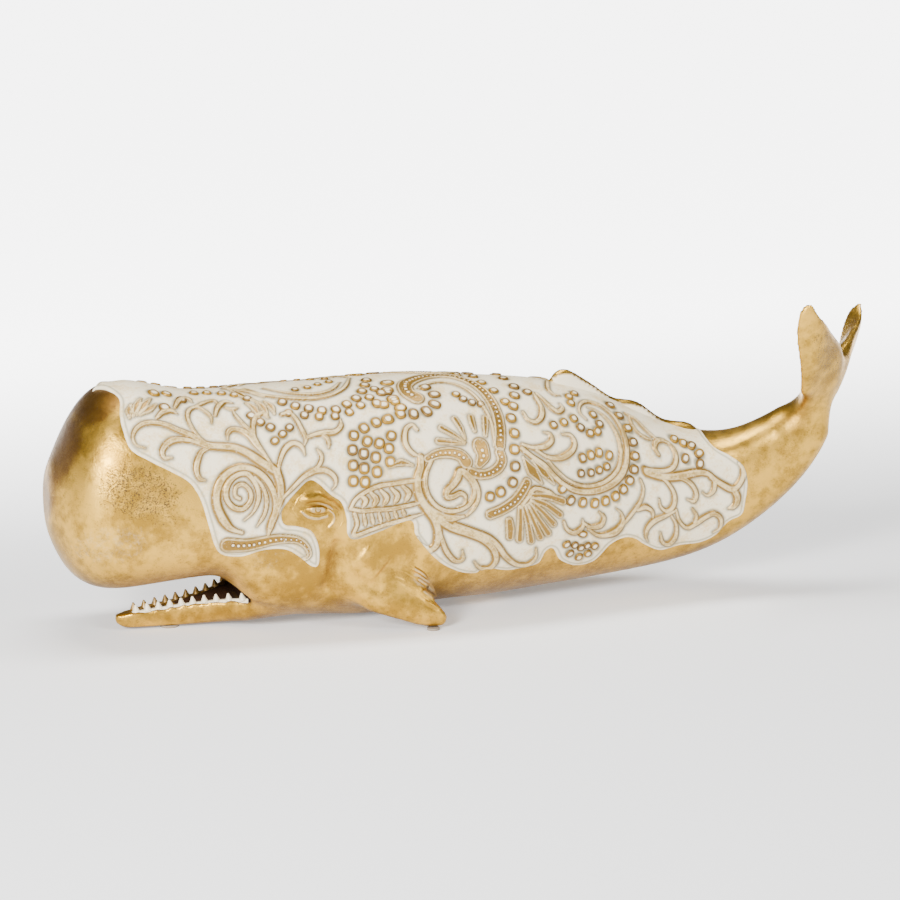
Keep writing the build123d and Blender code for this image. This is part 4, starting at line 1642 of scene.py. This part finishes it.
@dataclass
class Studs:
    """Studs and beads on the mantle, one shape stood on points by geometry nodes.

    The profile gives shares of the stud's radius and height, and how pale the stud is there.
    """

    height: float = 0.9
    bead_height: float = 0.54
    bead_rise: float = 0.3
    bead_spacing: float = 2.5
    bead_share: float = 0.36
    sides: int = 12
    squareness: float = 0.8
    profile: tuple[Triple, ...] = (
        (1.08, -0.40, 0.0), (0.97, 0.60, 0.0), (0.78, 1.0, 0.3), (0.54, 0.75, 0.55),
        (0.26, 0.95, 1.0),
    )

    def crowd(self, chart: Chart, surface: Surface, outline: np.ndarray) -> Crowd:
        """Places every stud and bead of one side.

        Args:
            chart: Where the photo's pixels lie on the surface.
            surface: The side's surface.
            outline: The mantle's outline on the chart.

        Returns:
            The points that carry them.
        """
        crowd = Crowd()
        for row in STUD_ROWS:
            size = (row.width / 2, row.length / 2, self.height)
            for spot, run in zip(*even_spots(chart.path(row.pixels(), 1.0), row.count)):
                crowd.add(surface, spot, run, MANTLE_RISE, size)
        for stroke in STROKES:
            if stroke.pen.form is not Form.RIBBON:
                continue
            path = chart.path(stroke.pixels(), 1.0)
            length = np.linalg.norm(np.diff(path, axis=0), axis=1).sum()
            count = max(2, int(length / self.bead_spacing)) + 2
            radii = self.bead_share * stroke.pen.half_width(np.linspace(0.0, 1.0, count))
            for spot, run, radius in list(zip(*even_spots(path, count), radii))[1:-1]:
                if inside_polygon(spot[None, :], outline)[0]:
                    size = (radius, radius, self.bead_height)
                    crowd.add(surface, spot, run, MANTLE_RISE + self.bead_rise, size)
        return crowd

    def shape(self) -> bpy.types.Object:
        """Makes one stud of unit radius and height: a rim, a hollow and a dot.

        Returns:
            The stud.
        """
        turn = 2 * math.pi * np.arange(self.sides) / self.sides
        circle = np.stack([np.cos(turn), np.sin(turn)], axis=1)
        circle = np.sign(circle) * np.abs(circle) ** self.squareness
        rings = [np.c_[circle * radius, np.full(self.sides, z)] for radius, z, _ in self.profile]
        faces = []
        for first in range(0, self.sides * (len(rings) - 1), self.sides):
            for step in range(self.sides):
                start, end = first + step, first + (step + 1) % self.sides
                faces.append([start, end, end + self.sides, start + self.sides])
        top = self.sides * (len(rings) - 1)
        faces.append(list(range(top, top + self.sides)))
        faces.append(list(reversed(range(self.sides))))
        shape = make_mesh("stud_shape", np.concatenate(rings) / MM, faces)
        set_attribute(shape, "pale", np.repeat([light for _, _, light in self.profile], self.sides))
        return shape

    def group(self) -> bpy.types.NodeTree:
        """Builds the node group that stands a shape on points.

        Returns:
            The group, which reads the turn and the size of each point.
        """
        group = bpy.data.node_groups.new("stand_on_points", "GeometryNodeTree")
        for name, kind in (("Points", "Geometry"), ("Shape", "Object"), ("Material", "Material")):
            group.interface.new_socket(name, in_out="INPUT", socket_type=f"NodeSocket{kind}")
        group.interface.new_socket("Geometry", in_out="OUTPUT", socket_type="NodeSocketGeometry")
        wiring = Wiring(group)
        start = wiring.node("NodeGroupInput", {}, {}).outputs
        vector = {"data_type": "FLOAT_VECTOR"}
        turn, size = (
            wiring.node("GeometryNodeInputNamedAttribute", vector, {"Name": name}).outputs["Attribute"]
            for name in ("turn", "size")
        )
        shape = wiring.node("GeometryNodeObjectInfo", {}, {"Object": start["Shape"]})
        stand = wiring.node(
            "GeometryNodeInstanceOnPoints", {},
            {"Points": start["Points"], "Instance": shape.outputs["Geometry"], "Rotation": turn,
             "Scale": size},
        )
        real = wiring.node("GeometryNodeRealizeInstances", {}, {"Geometry": stand.outputs[0]})
        painted = {"Geometry": real.outputs[0], "Material": start["Material"]}
        paint = wiring.node("GeometryNodeSetMaterial", {}, painted)
        wiring.node("NodeGroupOutput", {}, {"Geometry": paint.outputs[0]})
        return group

    def stand(
        self, name: str, crowd: Crowd, inputs: dict[str, bpy.types.ID], group: bpy.types.NodeTree
    ) -> bpy.types.Object:
        """Makes one plain mesh of the copies on a crowd's points.

        Args:
            name: The new object's name.
            crowd: The points.
            inputs: What the group's inputs hold, by name.
            group: The node group.

        Returns:
            The new object, without its modifier.
        """
        mesh = bpy.data.meshes.new(name)
        mesh.from_pydata([tuple(place) for place in crowd.places], [], [])
        for label, values in (("turn", crowd.turns), ("size", crowd.sizes)):
            attribute = mesh.attributes.new(label, "FLOAT_VECTOR", "POINT")
            attribute.data.foreach_set("vector", np.array(values, dtype=np.float32).ravel())
        made = link(name, mesh)
        modifier = made.modifiers.new("stand", "NODES")
        modifier.node_group = group
        for item in group.interface.items_tree:
            if item.name in inputs:
                modifier[item.identifier] = inputs[item.name]
        graph = bpy.context.evaluated_depsgraph_get()
        solid = bpy.data.meshes.new_from_object(made.evaluated_get(graph))
        made.modifiers.clear()
        made.data = solid
        solid.name = name
        bpy.data.meshes.remove(mesh)
        solid.polygons.foreach_set("use_smooth", [True] * len(solid.polygons))
        return made

    def build(self, crowds: dict[Side, Crowd], paint: bpy.types.Material) -> None:
        """Builds the studs and beads of both sides.

        Args:
            crowds: The points of each side.
            paint: The studs' finish.
        """
        shape = self.shape()
        group = self.group()
        for side, crowd in crowds.items():
            inputs = {"Shape": shape, "Material": paint}
            studs = self.stand(f"studs_{side.name.lower()}", crowd, inputs, group)
            attach(studs, "relief_mantle", paint)
        bpy.data.objects.remove(shape)


@dataclass(frozen=True)
class FineMark:
    """A fine groove or ridge on a patch: width in photo pixels, height in millimetres, and paint, its
    brown being painted shade along a groove.
    """

    width: float
    height: float
    path: Path
    brown: float = 0.0
    pale: float = 0.0


@dataclass(frozen=True)
class Patch:
    """A finely meshed part of the skin, with its outline in photo pixels."""

    name: str
    node: str
    outline: Path
    marks: tuple[FineMark, ...]
    step: float = 0.45
    rise: float = 0.12
    sink: float = 0.25

    def cast(self, pixels: np.ndarray, skin: BVHTree, view: View, flip: np.ndarray) -> np.ndarray:
        """Finds the skin under a grid of photo pixels.

        Args:
            pixels: The grid.
            skin: Search tree of the skin.
            view: The photograph's camera.
            flip: Factors that mirror the camera for the far side.

        Returns:
            A place for each pixel, not a number where there is no skin.
        """
        places = np.full((*pixels.shape[:2], 3), np.nan)
        for column, row in np.ndindex(pixels.shape[:2]):
            ray = view.ray(*pixels[column, row]) * flip
            hit = skin.ray_cast(Vector(view.place * flip), Vector(ray))[0]
            if hit:
                places[column, row] = hit
        return places

    def carve(
        self, pixels: np.ndarray, depth: np.ndarray
    ) -> tuple[np.ndarray, dict[str, np.ndarray]]:
        """Carves the marks into the patch.

        Args:
            pixels: The patch's grid of photo pixels.
            depth: How far each lies inside the outline.

        Returns:
            How far the patch rises above the skin, and its paint masks.
        """
        fade = smoothstep(0.5, 5.0, depth)
        rise = -self.sink + (self.rise + self.sink) * smoothstep(0.0, 3.0, depth)
        masks = {"brown": np.zeros(depth.shape), "pale": np.zeros(depth.shape)}
        for mark in self.marks:
            path = smooth_path(np.array(mark.path, dtype=float), 0.5)
            away, share = segment_distance(pixels.reshape(-1, 2), path)
            ends = smoothstep(0.0, 0.2, share) * smoothstep(1.0, 0.8, share)
            body = 1.0 if mark.pale else 0.2 + 0.8 * ends
            value = fade * (body * np.exp(-((2 * away / mark.width) ** 2))).reshape(depth.shape)
            rise += mark.height * value
            # Brown along the grooves is painted shade
            masks["brown"] = np.maximum(masks["brown"], mark.brown * value)
            masks["pale"] = np.maximum(masks["pale"], mark.pale * value)
        masks["pale"] *= 1 - masks["brown"]
        return rise, masks

    def build(self, skin: BVHTree, view: View, side: Side, gold: bpy.types.Material) -> None:
        """Lays the patch with its marks over the skin, sunk into it round its edge.

        Args:
            skin: Search tree of the skin.
            view: The photograph's camera, which the patch's pixels belong to.
            side: The side of the whale.
            gold: The gold leaf.
        """
        outline = np.array(self.outline, dtype=float)
        axes = [np.arange(*reach, self.step) for reach in zip(outline.min(axis=0), outline.max(axis=0))]
        pixels = np.stack(np.meshgrid(*axes, indexing="ij"), axis=-1)
        flip = np.array((1.0, -float(side.value), 1.0))
        places = self.cast(pixels, skin, view, flip)
        flat = pixels.reshape(-1, 2)
        distance, _ = segment_distance(flat, np.vstack([outline, outline[:1]]))
        inside = inside_polygon(flat, outline) & ~np.isnan(places[:, :, 0]).reshape(-1)
        depth = np.where(inside, distance, -1.0).reshape(pixels.shape[:2])
        places = np.nan_to_num(places)
        normal = surface_normals(places)
        facing = np.einsum("ijk,k->ij", normal, -view.forward * flip)
        normal *= np.where(facing < 0, -1.0, 1.0)[:, :, None]
        rise, masks = self.carve(pixels, depth)
        surface = places + normal * rise[:, :, None]
        keep = depth > 0
        step = np.linalg.norm(np.diff(places, axis=1), axis=2)
        keep[:, :-1] &= step < 4 * np.median(step[keep[:, :-1]])
        shading = surface_normals(surface)
        shading *= np.where(np.einsum("ijk,ijk->ij", shading, normal) < 0, -1.0, 1.0)[:, :, None]
        label = side.name.lower()
        piece = grid_mesh(f"{self.name}_{label}", side, surface, shading, keep, masks)
        attach(piece, self.node.replace("left", label), gold)


PATCHES = (
    Patch(
        "eye", "body_casting",
        ((296, 497), (304, 490), (318, 488), (334, 498), (345, 508), (347, 522), (340, 533),
         (326, 536), (312, 529), (298, 522), (290, 510)),
        (
            # Brow, and the groove under it, darkened brown as painted shadow
            FineMark(
                7.0, 1.5,
                ((300, 503), (307, 499), (318, 497.5), (328, 500), (337, 505), (343, 511)),
            ),
            FineMark(2.4, -0.9, ((303, 507), (310, 504), (318, 503), (327, 505.5), (334, 510)), 0.8),
            # Eyeball and lids, the lid grooves darkened with painted shade
            FineMark(9.0, 1.1, ((313, 509.5), (322, 509.5)), pale=0.75),
            FineMark(
                1.7, -0.35,
                ((305, 509.5), (311, 506.4), (318, 505.4), (325, 507), (330, 511)), 1.0,
            ),
            FineMark(
                1.5, -0.3,
                ((305, 509.8), (311, 513), (318, 514.2), (325, 513.2), (330, 511)), 0.7,
            ),
            FineMark(
                1.2, -0.15,
                ((315.4, 508), (315.2, 510.5), (317.4, 512.4), (320, 510.8), (319.8, 508)), 0.8,
            ),
            FineMark(3.4, 0.6, ((302, 512), (308, 517), (318, 518.6), (327, 516)), pale=0.8),
            FineMark(2.6, 0.5, ((329, 510), (334, 515), (333.5, 522), (329, 527)), pale=0.7),
            FineMark(2.2, -0.4, ((333, 506), (339, 512), (341, 520), (338, 528)), 0.4),
        ),
    ),
    Patch(
        "fingers", "left_flipper",
        ((392, 566), (402, 560), (414, 562), (424, 568), (432, 580), (439, 595), (444, 609),
         (436, 613), (420, 603), (404, 592), (393, 580)),
        (
            # Grooves between the fingers, darkened with painted shade
            FineMark(2.2, -0.7, ((394, 564), (406, 563.5), (416, 566), (426, 573)), 0.7),
            FineMark(2.2, -0.9, ((392, 567), (404, 569), (415, 573.5), (426, 580.5), (432, 584)), 0.8),
            FineMark(2.2, -0.9, ((391, 571), (404, 575), (417, 582), (430, 591.5), (437, 596)), 0.8),
            FineMark(2.2, -0.8, ((391, 577), (403, 582), (417, 590.5), (431, 601), (440, 604)), 0.6),
            FineMark(1.6, -0.4, ((396, 568), (408, 572), (418, 577)), 0.5),
            FineMark(1.6, -0.4, ((396, 575), (408, 580), (420, 587)), 0.5),
            # Pale ends of the fingers
            FineMark(5.0, 0.9, ((415, 569), (421, 572.6), (427, 577)), pale=0.75),
            FineMark(5.0, 0.9, ((419, 580), (426, 585), (432, 589)), pale=0.75),
            FineMark(4.4, 0.7, ((424, 592), (431, 597), (437, 601)), pale=0.7),
            FineMark(4.4, 0.5, ((428, 602), (434, 606), (440, 609)), pale=0.4),
        ),
    ),
)


class Wiring:
    """Adds nodes to a node tree."""

    def __init__(self, tree: bpy.types.NodeTree) -> None:
        """Keeps the tree."""
        self.tree = tree

    def node(
        self, kind: str, settings: dict[str, str], entries: dict[str | int, object]
    ) -> bpy.types.Node:
        """Adds one node.

        Args:
            kind: The node's type.
            settings: Its settings, which are set first.
            entries: The value or the link of its inputs, by name or number.

        Returns:
            The new node.
        """
        node = self.tree.nodes.new(kind)
        for name, value in settings.items():
            setattr(node, name, value)
        for name, value in entries.items():
            self.feed(node.inputs[name], value)
        return node

    def feed(self, entry: bpy.types.NodeSocket, value: object) -> None:
        """Gives an input its link or its value.

        Args:
            entry: The input.
            value: A channel or a socket to link, or a plain value. Colours are made opaque.
        """
        if isinstance(value, Channel):
            value = value.output
        if isinstance(value, bpy.types.NodeSocket):
            self.tree.links.new(value, entry)
        else:
            entry.default_value = (*value, 1.0) if isinstance(value, tuple) else value


class Channel:
    """A number in a shader. Arithmetic on it adds nodes to its tree."""

    def __init__(self, wiring: Wiring, output: bpy.types.NodeSocket) -> None:
        """Keeps the output that carries the number."""
        self.wiring = wiring
        self.output = output

    def math(self, operation: str, *others: "Channel | float") -> "Channel":
        """Adds one Math node with this channel as its first input."""
        node = self.wiring.node(
            "ShaderNodeMath", {"operation": operation}, dict(enumerate((self, *others)))
        )
        return Channel(self.wiring, node.outputs[0])

    def __add__(self, other: "Channel | float") -> "Channel":
        """Sum."""
        return self.math("ADD", other)

    def __sub__(self, other: "Channel | float") -> "Channel":
        """Difference."""
        return self.math("SUBTRACT", other)

    def __rsub__(self, other: float) -> "Channel":
        """Difference from a number."""
        return self.math("MULTIPLY_ADD", -1.0, other)

    def __mul__(self, other: "Channel | float") -> "Channel":
        """Product."""
        return self.math("MULTIPLY", other)

    __radd__ = __add__
    __rmul__ = __mul__

    def most(self, other: "Channel | float") -> "Channel":
        """The larger of two values."""
        return self.math("MAXIMUM", other)

    def rise(self, low: float, high: float) -> "Channel":
        """Rises smoothly from 0 at low to 1 at high, or falls where high is the smaller.

        Args:
            low: Where the result is 0.
            high: Where the result is 1.

        Returns:
            The share.
        """
        falls = high < low
        entries = {
            "Value": self, "From Min": min(low, high), "From Max": max(low, high),
            "To Min": float(falls), "To Max": float(not falls),
        }
        node = self.wiring.node("ShaderNodeMapRange", {"interpolation_type": "SMOOTHSTEP"}, entries)
        return Channel(self.wiring, node.outputs["Result"])


class Painter(Wiring):
    """Builds one procedural material on object coordinates and vertex masks."""

    def __init__(self, name: str) -> None:
        """Starts a material."""
        self.material = bpy.data.materials.new(name)
        self.material.use_nodes = True
        super().__init__(self.material.node_tree)
        self.shader = self.tree.nodes["Principled BSDF"]
        self.place = self.node("ShaderNodeTexCoord", {}, {}).outputs["Object"]

    def noise(self, size: float, detail: float = 3.0, rough: float = 0.55) -> Channel:
        """Adds cloudy noise.

        Args:
            size: About how large its features are, in millimetres.
            detail: How many finer layers it has.
            rough: How strong each finer layer is.

        Returns:
            The noise, about 0 to 1.
        """
        entries = {
            "Vector": self.place, "Scale": 1.0 / (size * MM), "Detail": detail, "Roughness": rough,
        }
        return Channel(self, self.node("ShaderNodeTexNoise", {}, entries).outputs["Fac"])

    def mask(self, name: str) -> Channel:
        """Vertex mask of the piece."""
        return Channel(self, self.node("ShaderNodeAttribute", {"attribute_name": name}, {}).outputs["Fac"])

    def mix(
        self, first: "Triple | bpy.types.NodeSocket", second: "Triple | bpy.types.NodeSocket",
        share: Channel,
    ) -> bpy.types.NodeSocket:
        """Blends two colours.

        Args:
            first: The colour where the share is 0.
            second: The colour where the share is 1.
            share: The share of the second.

        Returns:
            The blend.
        """
        entries = {0: share, 6: first, 7: second}
        return self.node("ShaderNodeMix", {"data_type": "RGBA"}, entries).outputs[2]

    def set(self, name: str, value: object) -> None:
        """Sets or links one input of the surface."""
        self.feed(self.shader.inputs[name], value)

    def bump(self, height: Channel, distance: float) -> None:
        """Roughens the surface by a height of 0 to 1 times a distance in millimetres."""
        node = self.node("ShaderNodeBump", {}, {"Distance": distance * MM, "Height": height})
        self.set("Normal", node.outputs["Normal"])


IVORY = (0.80, 0.70, 0.50)
STROKE_CREAM = (0.66, 0.47, 0.17)
STROKE_GOLD = (0.24, 0.13, 0.015)
LEAF_OCHRE = (0.30, 0.16, 0.013)


@dataclass(frozen=True)
class PlainFinish:
    """One colour with a fine grain."""

    name: str
    color: Triple
    roughness: float
    metallic: float = 0.0
    grain: float = 0.0
    grain_size: float = 0.5
    lightening: float = 1.25

    def material(self) -> bpy.types.Material:
        """Builds the finish.

        Returns:
            The material.
        """
        painter = Painter(self.name)
        grain = painter.noise(self.grain_size)
        lighter = tuple(min(1.0, value * self.lightening) for value in self.color)
        painter.set("Base Color", painter.mix(self.color, lighter, grain))
        painter.set("Roughness", self.roughness)
        painter.set("Metallic", self.metallic)
        painter.bump(grain, self.grain)
        return painter.material


@dataclass(frozen=True)
class GoldLeaf:
    """Gold leaf over resin: bright leaf, ochre wear, brown patina mixed with painted shade, dark pits, and
    painted shade inside the mouth.
    """

    bright: Triple = (0.74, 0.43, 0.06)
    ochre: Triple = LEAF_OCHRE
    brown: Triple = (0.11, 0.045, 0.008)
    pale: Triple = (0.74, 0.66, 0.46)
    black: Triple = (0.02, 0.015, 0.01)
    mouth: Triple = (0.045, 0.018, 0.006)

    def material(self) -> bpy.types.Material:
        """Builds the finish, from the clouds of wear up to the pits.

        Returns:
            The material.
        """
        painter = Painter("gold_leaf")
        cloud = painter.noise(26.0, 4.0)
        streak = painter.noise(6.0, 5.0, 0.65)
        fleck = painter.noise(2.2, 4.0, 0.7)
        grit = painter.noise(0.75, 3.0, 0.7)
        speck = painter.mask("speck")
        ivory = painter.mask("ivory")
        mouth = painter.mask("mouth")
        wear = (cloud * 0.55 + streak * 0.45).rise(0.40, 0.60)
        dust = grit.rise(0.56, 0.68) * streak.rise(0.45, 0.6)
        worn = (painter.mask("pale") * 1.2 + fleck * 0.8).rise(0.85, 1.25)
        # Brown from the brown mask: patina, with painted shade in folds, grooves, underneath and at the
        # head's dark edge
        patina_and_shade = (painter.mask("brown") * 0.9 + fleck * 0.35 + grit * 0.2).rise(0.45, 1.1)
        pits = (speck * 0.42 + grit).rise(0.93, 1.02) * (speck * 0.9 + 0.1)
        color = painter.mix(self.bright, self.ochre, wear * 0.85)
        color = painter.mix(color, self.brown, dust * 0.45)
        color = painter.mix(color, self.pale, worn * 0.3)
        color = painter.mix(color, self.brown, patina_and_shade * 0.85)
        color = painter.mix(color, self.black, pits * 0.85)
        color = painter.mix(color, IVORY, ivory)
        dull = (ivory + mouth).rise(0.0, 1.0)
        # Painted shade: nearly black inside the mouth and in the jaw's trough
        painter.set("Base Color", painter.mix(color, self.mouth, mouth))
        painter.set("Metallic", (0.92 - pits * 0.5 - worn * 0.3) * (1.0 - dull))
        painter.set("Roughness", 0.22 + fleck * 0.2 + patina_and_shade * 0.1 + dull * 0.2)
        painter.bump(grit * 0.6 + fleck * 0.6 - pits * 0.6, 0.22)
        return painter.material


@dataclass(frozen=True)
class CarvedIvory:
    """Ivory ground, cream strokes with gold edges, and grey painted shade in the hollows beside them."""

    ground: Triple = IVORY
    cream: Triple = STROKE_CREAM
    gold: Triple = STROKE_GOLD
    grey: Triple = (0.19, 0.165, 0.095)

    def material(self) -> bpy.types.Material:
        """Builds the finish.

        Returns:
            The material.
        """
        painter = Painter("ivory_relief")
        core = painter.mask("cream")
        cloud = painter.noise(9.0, 4.0)
        fleck = painter.noise(1.3, 4.0, 0.7)
        mottle = (cloud * 0.5 + fleck * 0.5).rise(0.46, 0.62)
        line = painter.mask("gold") * (1.0 - core) * fleck.rise(0.22, 0.42)
        tint = core * (fleck * 0.5 + cloud * 0.5).rise(0.43, 0.60)
        gold = line.most(tint * 0.7) * (1.0 - painter.mask("lip"))
        color = painter.mix(self.ground, self.cream, mottle * 0.7)
        # Painted shade: grey at the feet of strokes and studs and along the mantle's edge
        color = painter.mix(color, self.grey, painter.mask("shade") * 0.95)
        color = painter.mix(color, self.cream, core * (0.55 + cloud * 0.6))
        painter.set("Base Color", painter.mix(color, self.gold, gold))
        painter.set("Metallic", gold * 0.55)
        painter.set("Roughness", 0.50 - gold * 0.14)
        painter.bump(fleck, 0.06)
        return painter.material


@dataclass(frozen=True)
class StudPaint:
    """Brown gold studs with pale rims and pale dots."""

    brown: Triple = (0.16, 0.085, 0.015)
    ochre: Triple = LEAF_OCHRE
    pale: Triple = IVORY

    def material(self) -> bpy.types.Material:
        """Builds the finish.

        Returns:
            The material.
        """
        painter = Painter("stud_gold")
        fleck = painter.noise(1.6, 4.0, 0.7)
        body = painter.mix(self.brown, self.ochre, painter.noise(12.0).rise(0.4, 0.6))
        pale = (painter.mask("pale") * 0.9 + fleck * 0.4).rise(0.55, 0.95)
        painter.set("Base Color", painter.mix(body, self.pale, pale * 0.9))
        painter.set("Metallic", (1.0 - pale) * 0.55)
        painter.set("Roughness", 0.42)
        painter.bump(fleck, 0.05)
        return painter.material


@dataclass(frozen=True)
class ToothPaint:
    """Ivory teeth, more or less browned; the far row's extra browning is painted shade."""

    name: str
    browning_and_shade: float

    def material(self) -> bpy.types.Material:
        """Builds the finish.

        Returns:
            The material.
        """
        painter = Painter(self.name)
        tint = (painter.noise(1.2) * 0.5 + self.browning_and_shade).rise(0.35, 1.1)
        painter.set("Base Color", painter.mix(IVORY, STROKE_GOLD, tint))
        painter.set("Metallic", tint * 0.5)
        painter.set("Roughness", 0.4)
        return painter.material


NODE_FINISHES = {
    "pad": PlainFinish("pad_felt", (0.25, 0.20, 0.15), 0.95, grain=0.5),
    "plug": PlainFinish("plug_resin", (0.50, 0.30, 0.09), 0.55, grain=0.15),
    "dowel": PlainFinish("dowel_steel", (0.55, 0.55, 0.56), 0.35, metallic=1.0),
    "left_tooth_row": ToothPaint("tooth_ivory", 0.1),
    # The far tooth row is browned as painted shade inside the mouth
    "right_tooth_row": ToothPaint("tooth_brown", 0.75),
}


def dress_nodes(nodes: dict[str, bpy.types.Object]) -> None:
    """Paints the CAD nodes that are seen as they are.

    Args:
        nodes: The CAD nodes.
    """
    paints = {kind: finish.material() for kind, finish in NODE_FINISHES.items()}
    for name, node in nodes.items():
        kind = name if name in paints else name.rsplit("_", 1)[1]
        if kind in paints:
            node.data.materials.clear()
            node.data.materials.append(paints[kind])
            LOG.info("%s is painted with %s", name, paints[kind].name)


@dataclass(frozen=True)
class Softbox:
    """A rectangular light: its place and its target in metres, its size, and its power in watts."""

    name: str
    place: Triple
    target: Triple
    size: tuple[float, float]
    power: float

    def build(self) -> None:
        """Hangs the light and turns it to its target."""
        data = bpy.data.lights.new(self.name, "AREA")
        data.shape = "RECTANGLE"
        data.size, data.size_y = self.size
        data.energy = self.power
        light = link(self.name, data)
        light.location = self.place
        aim = Vector(self.target) - Vector(self.place)
        light.rotation_euler = aim.to_track_quat("-Z", "Y").to_euler()


@dataclass(frozen=True)
class Studio:
    """Camera, softboxes, world, and a white floor lit from below towards the back."""

    floor_half: float = 6.0
    floor_white: Triple = (0.85, 0.85, 0.85)
    floor_roughness: float = 0.8
    glow_near: Triple = (0.3, 0.3, 0.3)
    glow_far: Triple = (6.0, 6.0, 6.0)
    glow_reach: tuple[float, float] = (0.05, 0.8)
    world_strength: float = 0.10
    lights: tuple[Softbox, ...] = (
        Softbox("key", (-0.85, -1.0, 0.55), (-0.03, 0.0, 0.06), (0.36, 0.36), 44.0),
        Softbox("fill", (0.75, -1.2, 0.75), (0.1, 0.0, 0.06), (0.4, 0.3), 16.0),
        Softbox("top", (0.05, 0.1, 1.1), (0.05, 0.0, 0.05), (0.9, 0.25), 16.0),
    )

    def floor_material(self) -> bpy.types.Material:
        """Paints the floor.

        Returns:
            The material.
        """
        painter = Painter("floor_white")
        parts = painter.node("ShaderNodeSeparateXYZ", {}, {0: painter.place})
        glow = Channel(painter, parts.outputs["Y"]).rise(*self.glow_reach)
        painter.set("Base Color", self.floor_white)
        painter.set("Roughness", self.floor_roughness)
        painter.set("Emission Color", painter.mix(self.glow_near, self.glow_far, glow))
        painter.set("Emission Strength", 1.0)
        return painter.material

    def build_camera(self, view: View) -> None:
        """Sets the camera up as for the photograph.

        Args:
            view: The photograph's camera.
        """
        data = bpy.data.cameras.new("photo_camera")
        data.sensor_width = SENSOR_WIDTH
        data.lens = FOCAL_PIXELS / PHOTO_SIZE * SENSOR_WIDTH
        data.shift_y = -CAMERA_SHIFT_PIXELS / PHOTO_SIZE
        data.dof.use_dof = False
        camera = link("photo_camera", data)
        camera.location = view.place * MM
        camera.rotation_euler = Vector(view.forward).to_track_quat("-Z", "Y").to_euler()
        bpy.context.scene.camera = camera

    def build(self, view: View) -> None:
        """Builds the whole studio.

        Args:
            view: The photograph's camera.
        """
        self.build_camera(view)
        corners = [(-1, -1), (1, -1), (1, 1), (-1, 1)]
        mesh = bpy.data.meshes.new("floor")
        mesh.from_pydata(
            [(x * self.floor_half, y * self.floor_half, 0) for x, y in corners], [], [(0, 1, 2, 3)]
        )
        mesh.materials.append(self.floor_material())
        floor = link("floor", mesh)
        for light in self.lights:
            light.build()
        world = bpy.data.worlds.new("studio")
        world.use_nodes = True
        background = world.node_tree.nodes["Background"]
        background.inputs["Color"].default_value = (1, 1, 1, 1)
        background.inputs["Strength"].default_value = self.world_strength
        bpy.context.scene.world = world


def main() -> None:
    """Builds the studio, the skin, its patches, the mantle and its studs, in that order."""
    logging.basicConfig(level=logging.INFO)
    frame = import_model()
    nodes = frame["nodes"]
    view = View.of_photo()
    Studio().build(view)

    gold = GoldLeaf().material()
    skin = CastSkin().build(nodes, view, gold)
    for patch in PATCHES:
        for side in Side:
            patch.build(skin, view, side, gold)

    grids = {side: MantleGrid(skin, side) for side in Side}
    chart = Chart(grids[Side.LEFT], view)
    outline = chart.outline()
    studs = Studs()
    crowds = {side: studs.crowd(chart, Surface(grid), outline) for side, grid in grids.items()}
    relief = Relief(grids[Side.LEFT].fine()[1].shape[:2])
    for stroke in STROKES:
        relief.carve(stroke, chart)
    relief.shade(crowds[Side.LEFT])
    ivory = CarvedIvory().material()
    for grid in grids.values():
        Mantle().build_side(grid, outline, relief, ivory)
    studs.build(crowds, StudPaint().material())
    dress_nodes(nodes)


if __name__ == "__main__":
    main()
